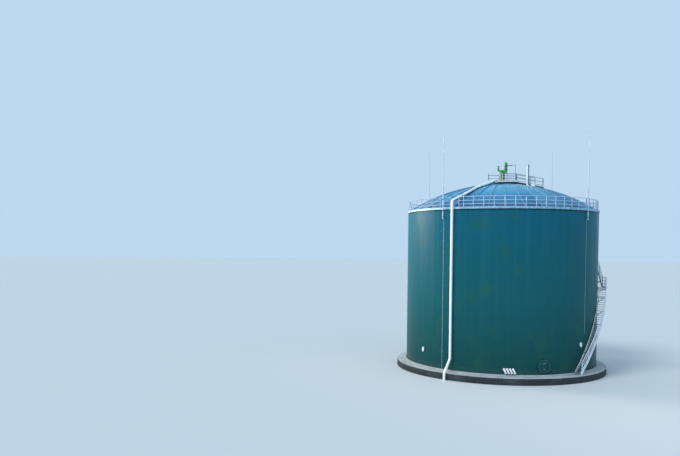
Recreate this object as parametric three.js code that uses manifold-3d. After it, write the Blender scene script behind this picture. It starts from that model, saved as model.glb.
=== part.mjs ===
// A biogas digester: a round steel tank on a concrete slab, with a domed roof, a green relief valve
// on its crown, a white gas pipe down its side, lightning rods and a stair that winds round the wall.
// Millimetres, +Z up. The origin is the centre of the slab's underside, which is ground level.
// An azimuth is in degrees: 0 faces -Y, the front, and 90 faces +X.

import * as THREE from "three";
import { mergeVertices } from "three/addons/utils/BufferGeometryUtils.js";
import Module from "manifold-3d";

const wasm = await Module();
wasm.setup();

// Driving dimensions
const WALL_RADIUS = 10000;
const WALL_HEIGHT = 15830;
const WALL_THICKNESS = 120;
const ROUND_STEPS = 72;
const WALL_SEGMENTS = 6;
const SLAB_RADIUS = 11020;
const SLAB_HEIGHT = 650;
const KERB_RADIUS = 10180;
const KERB_HEIGHT = 180;
const ROOF_RISE = 3050;
const ROOF_DEPTH = 108;
const RIB_COUNT = 36;
const RIB_AZIMUTH = 3;
const RIB_WIDTH = 120;
const RIB_HEIGHT = 80;
const ROOF_CHORDS = 4;
const CROWN_HOLE_RADIUS = 1400;
const SEAT = 0.3; // what touching pieces leave between them
const SLIVER = 0.05; // edges this short or this near a straight line are cleared from a joined mesh

// Heights that follow
const WALL_FOOT = SLAB_HEIGHT + KERB_HEIGHT;
const RIM = WALL_FOOT + WALL_HEIGHT;

// Eave ring, which caps the wall and carries the roof's edge and the railing
const EAVE = { outer: 10060, lip: 10012, inner: 9820, drop: 70, top: 145 };

// Railings
const RAIL_WIDTH = 50;
const POST_WIDTH = 60;
const POST_SUNK = 22; // how far a post is drawn into its floor before it is trimmed
const POST_CAP = 15; // how far a post stands over its top rail
const RIM_RAIL = { radius: 9880, heights: [410, 750, 1130], pitch: 5.74, phase: -3.6 };
const PIPE_GAP = { from: -29.2, to: -23.8 };
const STAIR_GATE = { from: 134.4, to: 140.2 };
const CROWN_RAIL_HEIGHTS = [180, 540, 900];

// Stair
const STAIR = { inner: 10080, outer: 10820, plate: 30, riser: 204.5, perDegree: 215.7 };
const STAIR_FOOT_AZIMUTH = 45.2;
const STAIR_LANDING_HEIGHT = WALL_FOOT + 8000;
const LOWER_TREADS = 39;
const UPPER_TREADS = 38;
const LANDING_END_AZIMUTH = 97.2;
const TREAD = { depth: 240, thickness: 40 };
const STRINGER = { below: 210, above: 170 };
const STAIR_RAIL_HEIGHTS = [380, 720, 1060];
const POST_FOOT = 120; // how far a stair railing's post reaches down beside the stair
const LANDING_THICKNESS = 60;

// Gas pipe
const PIPE_RADIUS = 125;
const PIPE_AZIMUTH = -26.5;
const PIPE_SIDES = 10;
const PIPE_BEND = 285;
const BEND_STEPS = 3;

const rad = THREE.MathUtils.degToRad;

// Materials, coloured as the real pieces are
const concrete = new THREE.MeshStandardMaterial({ color: 0x8d9296, roughness: 0.9, metalness: 0 });
const kerbConcrete = new THREE.MeshStandardMaterial({ color: 0xb9bcbc, roughness: 0.9, metalness: 0 });
const cladding = new THREE.MeshStandardMaterial({ color: 0x1f5a63, roughness: 0.45, metalness: 0.1 });
const roofSheet = new THREE.MeshStandardMaterial({ color: 0x6a8fae, roughness: 0.4, metalness: 0.2 });
const galvanised = new THREE.MeshStandardMaterial({ color: 0xb6bdc4, roughness: 0.45, metalness: 0.7 });
const whitePaint = new THREE.MeshStandardMaterial({ color: 0xe9ecee, roughness: 0.4, metalness: 0 });
const valveGreen = new THREE.MeshStandardMaterial({ color: 0x2f9a3c, roughness: 0.4, metalness: 0 });

// Solids and meshes

function toSolid(geometry) {
  const loose = geometry.index ? geometry.toNonIndexed() : geometry;
  const bare = new THREE.BufferGeometry();
  bare.setAttribute("position", loose.getAttribute("position"));
  const merged = mergeVertices(bare, 1e-3);
  const mesh = new wasm.Mesh({
    numProp: 3,
    vertProperties: merged.attributes.position.array,
    triVerts: new Uint32Array(merged.index.array),
    tolerance: SLIVER,
  });
  return new wasm.Manifold(mesh);
}

function toGeometry(solid) {
  const mesh = solid.getMesh();
  const geometry = new THREE.BufferGeometry();
  geometry.setAttribute("position", new THREE.BufferAttribute(mesh.vertProperties, 3));
  geometry.setIndex(new THREE.BufferAttribute(mesh.triVerts, 1));
  geometry.computeVertexNormals();
  return geometry;
}

function join(solids) {
  return solids.reduce((whole, solid) => whole.add(solid));
}

function addPiece(group, name, solid, material, azimuth = 0) {
  const mesh = new THREE.Mesh(toGeometry(solid.simplify(SLIVER)), material);
  mesh.name = name;
  mesh.rotation.z = rad(azimuth);
  group.add(mesh);
}

function at(azimuth, radius, height) {
  return new THREE.Vector3(radius * Math.sin(rad(azimuth)), -radius * Math.cos(rad(azimuth)), height);
}

// A profile of [radius, height] points turned round the tank's axis
function lathe(profile, steps = ROUND_STEPS) {
  const points = profile.map(([radius, height]) => new THREE.Vector2(radius, height));
  const geometry = new THREE.LatheGeometry(points, steps);
  geometry.rotateX(Math.PI / 2);
  return toSolid(geometry);
}

function disc(radius, low, high, steps = ROUND_STEPS) {
  return lathe([[0, low], [radius, low], [radius, high], [0, high]], steps);
}

function ring(inner, outer, low, high) {
  return lathe([[inner, low], [outer, low], [outer, high], [inner, high], [inner, low]]);
}

// The part of a solid between two azimuths less than 180 degrees apart, short of each by half a seat
function sector(solid, from, to) {
  const reach = 4 * WALL_RADIUS;
  const half = rad(to - from) / 2;
  const tip = SEAT / 2 / Math.sin(half);
  const shape = new THREE.Shape();
  shape.moveTo(tip, 0);
  shape.lineTo(tip + reach * Math.cos(half), -reach * Math.sin(half));
  shape.lineTo(tip + reach, 0);
  shape.lineTo(tip + reach * Math.cos(half), reach * Math.sin(half));
  shape.closePath();
  const height = 4 * WALL_HEIGHT;
  const wedge = new THREE.ExtrudeGeometry(shape, { depth: height, bevelEnabled: false });
  wedge.translate(0, 0, -height / 2);
  wedge.rotateZ(rad((from + to) / 2 - 90));
  return solid.intersect(toSolid(wedge));
}

// A box at an azimuth and radius, sized along the wall, outwards and upwards
function boxAt(azimuth, radius, height, [along, outward, up]) {
  const geometry = new THREE.BoxGeometry(along, outward, up);
  geometry.translate(0, -radius, height);
  return toSolid(geometry).rotate([0, 0, azimuth]);
}

function box(low, high) {
  const size = new THREE.Vector3().subVectors(high, low);
  const geometry = new THREE.BoxGeometry(size.x, size.y, size.z);
  const middle = new THREE.Vector3().addVectors(low, high).multiplyScalar(0.5);
  geometry.translate(middle.x, middle.y, middle.z);
  return toSolid(geometry);
}

// A band that follows the wall: from one azimuth and height to another, between two radii
function band({ from, to, lowFrom, lowTo, deep, inner, outer, steps }) {
  const geometry = new THREE.BoxGeometry(1, 1, 1, steps, 1, 1);
  const position = geometry.getAttribute("position");
  for (let i = 0; i < position.count; i += 1) {
    const share = position.getX(i) + 0.5;
    const azimuth = from + (to - from) * share;
    const radius = position.getY(i) > 0 ? inner : outer;
    const low = lowFrom + (lowTo - lowFrom) * share;
    const place = at(azimuth, radius, low + (position.getZ(i) + 0.5) * deep);
    position.setXYZ(i, place.x, place.y, place.z);
  }
  return toSolid(geometry);
}

// A straight bar of rectangular section whose upper side faces up
function bar(start, end, wide, deep) {
  const along = new THREE.Vector3().subVectors(end, start);
  const length = along.length();
  const geometry = new THREE.BoxGeometry(length, wide, deep);
  const x = along.normalize();
  const y = new THREE.Vector3(0, 0, 1).cross(x).normalize();
  const z = new THREE.Vector3().crossVectors(x, y);
  const turn = new THREE.Matrix4().makeBasis(x, y, z);
  const middle = new THREE.Vector3().addVectors(start, end).multiplyScalar(0.5);
  geometry.applyMatrix4(turn.setPosition(middle));
  return toSolid(geometry);
}

// A round bar, tapered where the two radii differ
function rod(start, end, radius, endRadius = radius, sides = PIPE_SIDES) {
  const along = new THREE.Vector3().subVectors(end, start);
  const geometry = new THREE.CylinderGeometry(endRadius, radius, along.length(), sides);
  const turn = new THREE.Quaternion().setFromUnitVectors(new THREE.Vector3(0, 1, 0), along.clone().normalize());
  geometry.applyQuaternion(turn);
  const middle = new THREE.Vector3().addVectors(start, end).multiplyScalar(0.5);
  geometry.translate(middle.x, middle.y, middle.z);
  return toSolid(geometry);
}

// A line through corners that is rounded at each of them, with stations only where it bends
class Route extends THREE.Curve {
  constructor(corners, bend) {
    super();
    const short = (from, to) => from.clone().add(to.clone().sub(from).setLength(bend));
    this.stations = [corners[0]];
    for (let i = 1; i < corners.length - 1; i += 1) {
      const into = short(corners[i], corners[i - 1]);
      const outOf = short(corners[i], corners[i + 1]);
      this.stations.push(...new THREE.QuadraticBezierCurve3(into, corners[i], outOf).getPoints(BEND_STEPS));
    }
    this.stations.push(corners[corners.length - 1]);
  }

  getPoint(share, target = new THREE.Vector3()) {
    const last = this.stations.length - 1;
    const i = Math.min(Math.floor(share * last), last - 1);
    return target.lerpVectors(this.stations[i], this.stations[i + 1], share * last - i);
  }

  getUtoTmapping(share) {
    return share;
  }
}

function pipe(corners, radius, bend, sides = PIPE_SIDES) {
  const route = new Route(corners, bend);
  const section = new THREE.Shape();
  for (let i = 0; i < sides; i += 1) {
    const angle = (2 * Math.PI * i) / sides;
    const corner = [radius * Math.cos(angle), radius * Math.sin(angle)];
    if (i === 0) section.moveTo(...corner);
    else section.lineTo(...corner);
  }
  section.closePath();
  const steps = route.stations.length - 1;
  return toSolid(new THREE.ExtrudeGeometry(section, { steps, extrudePath: route, bevelEnabled: false }));
}

// Foundation

const digester = new THREE.Group();

addPiece(digester, "foundation_slab", disc(SLAB_RADIUS, 0, SLAB_HEIGHT), concrete);
addPiece(digester, "wall_kerb_and_floor", disc(KERB_RADIUS, SLAB_HEIGHT + SEAT, WALL_FOOT), kerbConcrete);

// Wall

const wallSpan = 360 / WALL_SEGMENTS;
const wallRing = ring(WALL_RADIUS - WALL_THICKNESS, WALL_RADIUS, WALL_FOOT + SEAT, RIM);
const wallSegment = sector(wallRing, 0, wallSpan);
for (let i = 0; i < WALL_SEGMENTS; i += 1) {
  addPiece(digester, `wall_segment_${i + 1}`, wallSegment, cladding, i * wallSpan);
}

// What stands off the wall is trimmed by this, so that it ends at the face of the wall, its kerb,
// the slab or the eave
const wallTrim = lathe([
  [0, -WALL_FOOT],
  [SLAB_RADIUS + SEAT, -WALL_FOOT],
  [SLAB_RADIUS + SEAT, SLAB_HEIGHT + SEAT],
  [KERB_RADIUS + SEAT, SLAB_HEIGHT + SEAT],
  [KERB_RADIUS + SEAT, WALL_FOOT + SEAT],
  [WALL_RADIUS + SEAT, WALL_FOOT + SEAT],
  [WALL_RADIUS + SEAT, RIM - EAVE.drop - SEAT],
  [EAVE.outer + SEAT, RIM - EAVE.drop - SEAT],
  [EAVE.outer + SEAT, RIM + EAVE.top],
  [0, RIM + EAVE.top],
]);

// Roof, in a frame whose height 0 is the wall's rim

const roof = new THREE.Group();
roof.position.z = RIM;
digester.add(roof);

const domeRadius = (WALL_RADIUS ** 2 + ROOF_RISE ** 2) / (2 * ROOF_RISE);

function domeHeight(radius) {
  return Math.sqrt(domeRadius ** 2 - radius ** 2) - (domeRadius - ROOF_RISE);
}

function roofStations() {
  const last = WALL_RADIUS - 80;
  const stations = [];
  for (let i = 0; i <= ROOF_CHORDS; i += 1) {
    stations.push(CROWN_HOLE_RADIUS + ((last - CROWN_HOLE_RADIUS) * i) / ROOF_CHORDS);
  }
  return stations;
}

function roofShell() {
  const upper = roofStations().map((radius) => [radius, domeHeight(radius)]);
  const lower = upper.map(([radius, height]) => [radius, Math.max(height - ROOF_DEPTH, SEAT)]);
  const profile = [...lower, ...upper.reverse(), lower[0]];
  const geometry = lathe(profile, RIB_COUNT);
  return geometry.rotate([0, 0, RIB_AZIMUTH]);
}

function roofRib(azimuth, wide) {
  const stations = roofStations();
  const shape = new THREE.Shape();
  const sunk = 30;
  stations.forEach((radius, i) => {
    const height = domeHeight(radius) - sunk;
    if (i === 0) shape.moveTo(radius, height);
    else shape.lineTo(radius, height);
  });
  [...stations].reverse().forEach((radius) => shape.lineTo(radius, domeHeight(radius) + RIB_HEIGHT));
  shape.closePath();
  const geometry = new THREE.ExtrudeGeometry(shape, { depth: wide, bevelEnabled: false });
  geometry.translate(0, 0, -wide / 2);
  geometry.rotateX(Math.PI / 2);
  geometry.rotateZ(rad(azimuth - 90));
  return toSolid(geometry);
}

const roofSectors = WALL_SEGMENTS;
const roofSpan = 360 / roofSectors;
const ribPitch = 360 / RIB_COUNT;
const roofStart = RIB_AZIMUTH - ribPitch / 2;

function roofRibs(count, wide) {
  return Array.from({ length: count }, (_, i) => roofRib(RIB_AZIMUTH + i * ribPitch, wide));
}

function roofSector() {
  const shell = sector(roofShell(), roofStart, roofStart + roofSpan);
  const edge = disc(EAVE.inner - SEAT, -ROOF_RISE, 2 * ROOF_RISE);
  return join([shell, ...roofRibs(RIB_COUNT / roofSectors, RIB_WIDTH)]).intersect(edge);
}

const oneRoofSector = roofSector();
for (let i = 0; i < roofSectors; i += 1) {
  addPiece(roof, `roof_sector_${i + 1}`, oneRoofSector, roofSheet, i * roofSpan);
}

// The whole roof, a seat higher and its ribs wider: what stands on the roof is trimmed by it
const roofTrim = join([roofShell(), ...roofRibs(RIB_COUNT, RIB_WIDTH + 2 * SEAT)]).translate([0, 0, SEAT]);

// Eave ring

const EAVE_SEGMENTS = 4;
const eaveProfile = [
  [EAVE.inner, SEAT],
  [EAVE.lip, SEAT],
  [EAVE.lip, -EAVE.drop],
  [EAVE.outer, -EAVE.drop],
  [EAVE.outer, EAVE.top],
  [EAVE.inner, EAVE.top],
  [EAVE.inner, SEAT],
];
const eaveSpan = 360 / EAVE_SEGMENTS;
const eaveSegment = sector(lathe(eaveProfile), 0, eaveSpan);
for (let i = 0; i < EAVE_SEGMENTS; i += 1) {
  addPiece(roof, `eave_ring_${i + 1}`, eaveSegment, galvanised, i * eaveSpan);
}

// Rim railing, open where the gas pipe crosses it and where the stair arrives

function rimPosts(from, to) {
  const { pitch, phase } = RIM_RAIL;
  const posts = [from];
  const clear = pitch * 0.4;
  for (let k = Math.ceil((from + clear - phase) / pitch); phase + k * pitch < to - clear; k += 1) {
    posts.push(phase + k * pitch);
  }
  posts.push(to);
  return posts;
}

function rimRailing(from, to) {
  const posts = rimPosts(from, to);
  const { radius, heights } = RIM_RAIL;
  const foot = EAVE.top + SEAT;
  const top = heights[heights.length - 1] + RAIL_WIDTH / 2 + POST_CAP;
  const uprights = posts.map((azimuth) =>
    boxAt(azimuth, radius, (foot + top) / 2, [POST_WIDTH, POST_WIDTH - 10, top - foot]),
  );
  const rails = heights.flatMap((height) =>
    posts.slice(1).map((azimuth, i) =>
      bar(at(posts[i], radius, height), at(azimuth, radius, height), RAIL_WIDTH - 10, RAIL_WIDTH),
    ),
  );
  return join([...uprights, ...rails]);
}

function rimRailings() {
  const right = (PIPE_GAP.to + STAIR_GATE.from) / 2;
  const left = (STAIR_GATE.to + PIPE_GAP.from + 360) / 2;
  const half = 0.4;
  addPiece(roof, "rim_railing_front", rimRailing(PIPE_GAP.to, right - half), galvanised);
  addPiece(roof, "rim_railing_right", rimRailing(right + half, STAIR_GATE.from), galvanised);
  addPiece(roof, "rim_railing_back", rimRailing(STAIR_GATE.to, left - half), galvanised);
  addPiece(roof, "rim_railing_left", rimRailing(left + half, PIPE_GAP.from + 360), galvanised);
}

rimRailings();

// Crown: a cap that plugs the dome's hole, and a deck with a sloping walkway to the right

const CAP = { radius: 1560, plug: 1390, low: 2890, top: 3230 };
const DECK = { left: 1430, right: 1590, deep: 900, top: 3330 };
const WALKWAY = { half: 500, thickness: 50, over: 250 };
const walkwayEnd = 4400;
const walkwayBend = 3000;

const capSeat = domeHeight(CROWN_HOLE_RADIUS) + RIB_HEIGHT + SEAT;
const capProfile = [
  [0, CAP.low],
  [CAP.plug, CAP.low],
  [CAP.plug, capSeat],
  [CAP.radius, capSeat],
  [CAP.radius, CAP.top],
  [0, CAP.top],
];
addPiece(roof, "crown_cap", lathe(capProfile, RIB_COUNT), galvanised);

// The walkway's top at x: level on the deck, then straight down to its bend and on to its end
function walkwayHeight(x) {
  const places = [DECK.right, walkwayBend, walkwayEnd];
  const tops = [DECK.top, ...places.slice(1).map((place) => domeHeight(place) + WALKWAY.over)];
  const i = x < walkwayBend ? 0 : 1;
  const share = Math.max(0, (x - places[i]) / (places[i + 1] - places[i]));
  return tops[i] + (tops[i + 1] - tops[i]) * share;
}

// A leg from under a deck down to the roof's skin, trimmed to it
function legs(places, top) {
  return places.map(([x, y]) => {
    const skin = domeHeight(Math.hypot(x, y)) - ROOF_DEPTH / 2;
    const half = 40;
    return box(new THREE.Vector3(x - half, y - half, skin), new THREE.Vector3(x + half, y + half, top(x, y)));
  });
}

// The sloping plate from the deck down to the walkway's end
function walkwayPlate() {
  const { half, thickness } = WALKWAY;
  const stations = [DECK.right - 20, walkwayBend, walkwayEnd];
  const corners = [
    ...stations.map((x) => new THREE.Vector2(x, walkwayHeight(x))),
    ...stations.reverse().map((x) => new THREE.Vector2(x, walkwayHeight(x) - thickness)),
  ];
  const geometry = new THREE.ExtrudeGeometry(new THREE.Shape(corners), { depth: 2 * half, bevelEnabled: false });
  geometry.rotateX(Math.PI / 2);
  geometry.translate(0, half, 0);
  return toSolid(geometry);
}

function crownDeck() {
  const level = box(
    new THREE.Vector3(-DECK.left, -DECK.deep, CAP.top + SEAT),
    new THREE.Vector3(DECK.right, DECK.deep, DECK.top),
  );
  const places = [walkwayBend, walkwayEnd - 60].flatMap((x) => [
    [x, -WALKWAY.half + 60],
    [x, WALKWAY.half - 60],
  ]);
  const feet = legs(places, (x) => walkwayHeight(x) - WALKWAY.thickness / 2);
  return join([level, walkwayPlate(), ...feet]).subtract(roofTrim);
}

const deck = crownDeck();
addPiece(roof, "crown_deck", deck, galvanised);

// A railing whose posts stand on given points of a floor, with straight rails from post to post
function railing(feet, heights, floor) {
  const top = heights[heights.length - 1] + POST_CAP;
  const uprights = feet.map((foot) =>
    box(
      new THREE.Vector3(foot.x - POST_WIDTH / 2, foot.y - POST_WIDTH / 2, foot.z - POST_SUNK),
      new THREE.Vector3(foot.x + POST_WIDTH / 2, foot.y + POST_WIDTH / 2, foot.z + top),
    ),
  );
  const rails = heights.flatMap((height) =>
    feet.slice(1).map((foot, i) => {
      const lift = new THREE.Vector3(0, 0, height - RAIL_WIDTH / 2);
      return bar(feet[i].clone().add(lift), foot.clone().add(lift), RAIL_WIDTH - 10, RAIL_WIDTH);
    }),
  );
  return join([...uprights, ...rails]).subtract(floor.translate([0, 0, SEAT]));
}

function deckPoint(x, y) {
  return new THREE.Vector3(x, y, walkwayHeight(x));
}

const deckEdge = DECK.deep - POST_WIDTH;
const deckStart = -DECK.left + POST_WIDTH;
const deckEnd = DECK.right - POST_WIDTH;
const pathEdge = WALKWAY.half - POST_WIDTH;
const pathEnd = walkwayEnd - POST_WIDTH;
const pathGate = 3540;

const pathStart = deckEnd + POST_WIDTH + SEAT;

const crownRailings = {
  crown_railing_front: [
    deckPoint(-200, -deckEdge),
    deckPoint(600, -deckEdge),
    deckPoint(deckEnd, -deckEdge),
    deckPoint(deckEnd, -pathEdge),
  ],
  crown_railing_back: [
    deckPoint(deckStart, -deckEdge),
    deckPoint(deckStart, 0),
    deckPoint(deckStart, deckEdge),
    deckPoint(-200, deckEdge),
    deckPoint(deckEnd, deckEdge),
    deckPoint(deckEnd, pathEdge),
  ],
  crown_walkway_railing_front: [
    deckPoint(pathStart, -pathEdge),
    deckPoint(walkwayBend, -pathEdge),
    deckPoint(pathEnd, -pathEdge),
    deckPoint(pathEnd, pathEdge),
  ],
  crown_walkway_railing_back: [
    deckPoint(pathStart, pathEdge),
    deckPoint(walkwayBend, pathEdge),
    deckPoint(pathGate, pathEdge),
  ],
};
for (const [name, feet] of Object.entries(crownRailings)) {
  addPiece(roof, name, railing(feet, CROWN_RAIL_HEIGHTS, deck), galvanised);
}

// Roof walkway from the stair's gate up to the crown walkway's end

const ROOF_PATH = { wide: 800, thickness: 50, over: 265, chords: 2 };
const pathFoot = at(137.3, 9600, 0);
const pathHead = new THREE.Vector3(3940, 350, 0);

function roofPathPoint(share, aside = 0) {
  const across = new THREE.Vector3().subVectors(pathHead, pathFoot).normalize();
  const side = new THREE.Vector3(-across.y, across.x, 0).multiplyScalar(aside);
  const centre = pathFoot.clone().lerp(pathHead, share);
  const height = domeHeight(Math.hypot(centre.x, centre.y)) + ROOF_PATH.over;
  return centre.add(side).setZ(height);
}

function roofPath() {
  const { wide, thickness, chords } = ROOF_PATH;
  const sunk = new THREE.Vector3(0, 0, thickness / 2);
  const plates = [];
  const places = [];
  for (let i = 0; i < chords; i += 1) {
    const start = roofPathPoint(i / chords).sub(sunk);
    const end = roofPathPoint((i + 1) / chords).sub(sunk);
    plates.push(bar(start, end, wide, thickness));
  }
  for (let i = 0; i <= chords; i += 1) {
    const share = Math.min(Math.max(i / chords, 0.012), 0.988);
    for (const aside of [-wide / 2 + 60, wide / 2 - 60]) {
      const place = roofPathPoint(share, aside);
      places.push([place.x, place.y, place.z]);
    }
  }
  const feet = places.flatMap(([x, y, z]) => legs([[x, y]], () => z - thickness / 2));
  const crownPath = box(
    new THREE.Vector3(DECK.right, -WALKWAY.half, 0),
    new THREE.Vector3(walkwayEnd + 2 * WALKWAY.half, WALKWAY.half + SEAT, RIM),
  );
  return join([...plates, ...feet]).subtract(roofTrim).subtract(crownPath);
}

const path = roofPath();
addPiece(roof, "roof_walkway", path, galvanised);

// Its railings go only as far as the dome is steep
for (const [name, aside] of [["left", -1], ["right", 1]]) {
  const out = aside * (ROOF_PATH.wide / 2 - POST_WIDTH);
  const shares = [0.02, 0.2, 0.37];
  const feet = shares.map((share) => {
    const low = Math.floor(share * ROOF_PATH.chords) / ROOF_PATH.chords;
    const from = roofPathPoint(low, out);
    const to = roofPathPoint(low + 1 / ROOF_PATH.chords, out);
    return from.lerp(to, (share - low) * ROOF_PATH.chords);
  });
  addPiece(roof, `roof_walkway_railing_${name}`, railing(feet, CROWN_RAIL_HEIGHTS, path), galvanised);
}

// Relief valve on the crown deck: two feet, a body, a vent elbow to the left and a tall valve head

const VALVE = {
  body: 4545,
  feet: [[-50, 140], [260, 90]],
  elbowAt: -340,
  elbowTop: 5100,
  headAt: 460,
  headRadius: 180,
  lineAt: 575,
  end: 590,
};

function reliefValve() {
  const { body, elbowAt, elbowTop, headAt, headRadius, lineAt, end } = VALVE;
  const base = DECK.top + SEAT;
  const point = (x, z) => new THREE.Vector3(x, 0, z);
  const feet = VALVE.feet.flatMap(([x, radius]) => [
    rod(point(x, base), point(x, base + 50), radius + 50),
    rod(point(x, base + 40), point(x, body), radius),
  ]);
  const cross = rod(point(elbowAt + 100, body), point(end, body), 150);
  const elbow = pipe([point(0, body), point(elbowAt, body + 20), point(elbowAt, elbowTop - 20)], 110, 160);
  const elbowRim = rod(point(elbowAt, elbowTop - 80), point(elbowAt, elbowTop), 145);
  const profile = [
    [0, -280],
    [100, -280],
    [145, -220],
    [150, 0],
    [176, 90],
    [180, 160],
    [172, 240],
    [145, 310],
    [105, 360],
    [150, 360],
    [150, 410],
    [115, 410],
    [165, 490],
    [headRadius, lineAt],
    [175, 700],
    [150, 820],
    [100, 930],
    [80, 975],
    [0, 985],
  ];
  const head = lathe(profile, PIPE_SIDES).translate([headAt, 0, body]);
  return join([...feet, cross, elbow, elbowRim, head]);
}

addPiece(roof, "relief_valve", reliefValve(), valveGreen);

function valveLine() {
  const radius = 30;
  const point = (x, z) => new THREE.Vector3(x, 0, z);
  const side = VALVE.headAt + VALVE.headRadius;
  const level = VALVE.body + VALVE.lineAt;
  const stand = DECK.right - 120;
  const corners = [point(side, level), point(stand, level + 110), point(stand, DECK.top + SEAT)];
  const line = pipe(corners, radius, 120, 8);
  const foot = rod(point(stand, DECK.top + SEAT), point(stand, DECK.top + 20), 80, 80, 8);
  return join([line, foot]);
}

addPiece(roof, "valve_sense_line", valveLine(), galvanised);

function ventPipe() {
  const x = 2740;
  const base = walkwayHeight(x);
  const point = (z) => new THREE.Vector3(x, -WALKWAY.half - 180, z);
  const skin = domeHeight(Math.hypot(x, WALKWAY.half + 180)) - ROOF_DEPTH / 2;
  const shaft = rod(point(skin), point(base + 1950), 130);
  const collar = rod(point(skin), point(skin + 190), 210);
  const cap = rod(point(base + 1930), point(base + 2060), 165);
  return join([shaft, collar, cap]).subtract(roofTrim);
}

addPiece(roof, "vent_pipe", ventPipe(), whitePaint);

// Gas pipe: out of the crown cap, down the dome, over the rim and down the wall to the ground

const PIPE_BREAK = -600;
const riserRadius = 10350;
const pipeFootRadius = 11400;

function onPipePlane(radius, height) {
  return at(PIPE_AZIMUTH, radius, height);
}

// The roof run's corners, as radius and height of the pipe's middle
const pipeOver = PIPE_RADIUS + RIB_HEIGHT + 15;
const crownEnd = { azimuth: -19.3, radius: 1270, height: 3555 };
const roofRun = [
  [crownEnd.radius, crownEnd.height],
  [3000, domeHeight(3000) + pipeOver],
  [5500, domeHeight(5500) + pipeOver],
  [8000, domeHeight(8000) + 340],
  [riserRadius, 780],
];

function pipeHeight(radius) {
  const i = roofRun.findIndex(([corner]) => corner > radius);
  const [[inner, innerHeight], [outer, outerHeight]] = [roofRun[i - 1], roofRun[i]];
  return innerHeight + ((outerHeight - innerHeight) * (radius - inner)) / (outer - inner);
}

function gasPipeRoof() {
  const crownPoint = (height) => at(crownEnd.azimuth, crownEnd.radius, height);
  const start = crownPoint(CAP.top + SEAT);
  const end = onPipePlane(riserRadius, PIPE_BREAK + SEAT);
  const way = roofRun.slice(1).map((corner) => onPipePlane(...corner));
  const line = pipe([start, crownPoint(crownEnd.height), ...way, end], PIPE_RADIUS, PIPE_BEND);
  const flanges = [
    rod(start, crownPoint(CAP.top + 50), 200),
    rod(end, onPipePlane(riserRadius, PIPE_BREAK + 45), 195),
  ];
  const saddles = [2600, 4600, 6600, 8600].map((radius) => {
    const low = domeHeight(radius) - ROOF_DEPTH / 2;
    const high = pipeHeight(radius);
    return boxAt(PIPE_AZIMUTH, radius, (low + high) / 2, [240, 60, high - low]);
  });
  const held = join([line, ...saddles]).subtract(roofTrim);
  return join([held, ...flanges]);
}

addPiece(roof, "gas_pipe_roof", gasPipeRoof(), whitePaint);

function gasPipeRiser() {
  const top = RIM + PIPE_BREAK;
  const bend = WALL_FOOT + 1150;
  const out = WALL_FOOT - 150;
  const line = pipe(
    [
      onPipePlane(riserRadius, top),
      onPipePlane(riserRadius, bend),
      onPipePlane(pipeFootRadius, out),
      onPipePlane(pipeFootRadius, 0),
    ],
    PIPE_RADIUS,
    PIPE_BEND,
  );
  const flanges = [
    rod(onPipePlane(riserRadius, top - 45), onPipePlane(riserRadius, top), 195),
    rod(onPipePlane(pipeFootRadius, 0), onPipePlane(pipeFootRadius, 40), 195),
  ];
  const brackets = [2600, 5600, 8600, 11600, 14600].map((height) =>
    boxAt(PIPE_AZIMUTH, 10140, WALL_FOOT + height, [120, 320, 120]),
  );
  return join([line, ...flanges, ...brackets]).subtract(wallTrim);
}

addPiece(digester, "gas_pipe_riser", gasPipeRiser(), whitePaint);

// Lightning rods with their conductors down the wall

const ROD = { radius: 10190, above: 7900, below: 1000, foot: 55, tip: 20 };
const CONDUCTOR = { radius: 10040, wide: 50, deep: 20 };
const rods = [
  { name: "front_left", azimuth: -33, down: SLAB_HEIGHT + SEAT + KERB_HEIGHT },
  { name: "front_right", azimuth: 54.4, down: WALL_FOOT + 3600 },
  { name: "back_right", azimuth: 145, down: SLAB_HEIGHT + SEAT + KERB_HEIGHT },
  { name: "back_left", azimuth: 235.5, down: SLAB_HEIGHT + SEAT + KERB_HEIGHT },
];

function lightningRod(azimuth, down) {
  const foot = RIM - ROD.below;
  const tip = RIM + ROD.above;
  const mast = rod(at(0, ROD.radius, foot), at(0, ROD.radius, tip), ROD.foot, ROD.tip, 6);
  const arms = [150, 750].map((below) =>
    boxAt(0, 10090, RIM - below - 50, [100, 240, 60]),
  );
  const link = boxAt(0, 10115, foot + 30, [CONDUCTOR.wide, 180, 40]);
  const strip = boxAt(0, CONDUCTOR.radius, (down + foot + 30) / 2, [
    CONDUCTOR.wide,
    CONDUCTOR.deep,
    foot + 30 - down,
  ]);
  const clips = [];
  for (let height = down + 600; height < foot; height += 4400) {
    clips.push(boxAt(0, 10015, height, [30, 60, 60]));
  }
  return join([mast, ...arms, link, strip, ...clips]).rotate([0, 0, azimuth]).subtract(wallTrim);
}

for (const { name, azimuth, down } of rods) {
  addPiece(digester, `lightning_rod_${name}`, lightningRod(azimuth, down), galvanised);
}

// Wall fittings

function onWall(azimuth, height, discs, sides = 16) {
  const pieces = discs.map(([inner, outer, radius]) =>
    rod(at(azimuth, inner, height), at(azimuth, outer, height), radius, radius, sides),
  );
  return join(pieces).subtract(wallTrim);
}

// A tall oval port: a neck and a cover, each two discs with a block between them
const PORT = { neck: [9960, 10090, 85], cover: [10080, 10150, 125], between: 230 };

function wallPort(azimuth, height) {
  const ovals = [PORT.neck, PORT.cover].map(([inner, outer, radius]) => {
    const end = (level) => rod(at(azimuth, inner, level), at(azimuth, outer, level), radius, radius, 16);
    const block = boxAt(azimuth, (inner + outer) / 2, height, [2 * radius, outer - inner, PORT.between]);
    return join([end(height - PORT.between / 2), end(height + PORT.between / 2), block]);
  });
  return join(ovals).subtract(wallTrim);
}

addPiece(digester, "wall_port_left", wallPort(-48.1, WALL_FOOT + 1630), whitePaint);
addPiece(digester, "wall_port_right", wallPort(50.7, WALL_FOOT + 2660), whitePaint);

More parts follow.
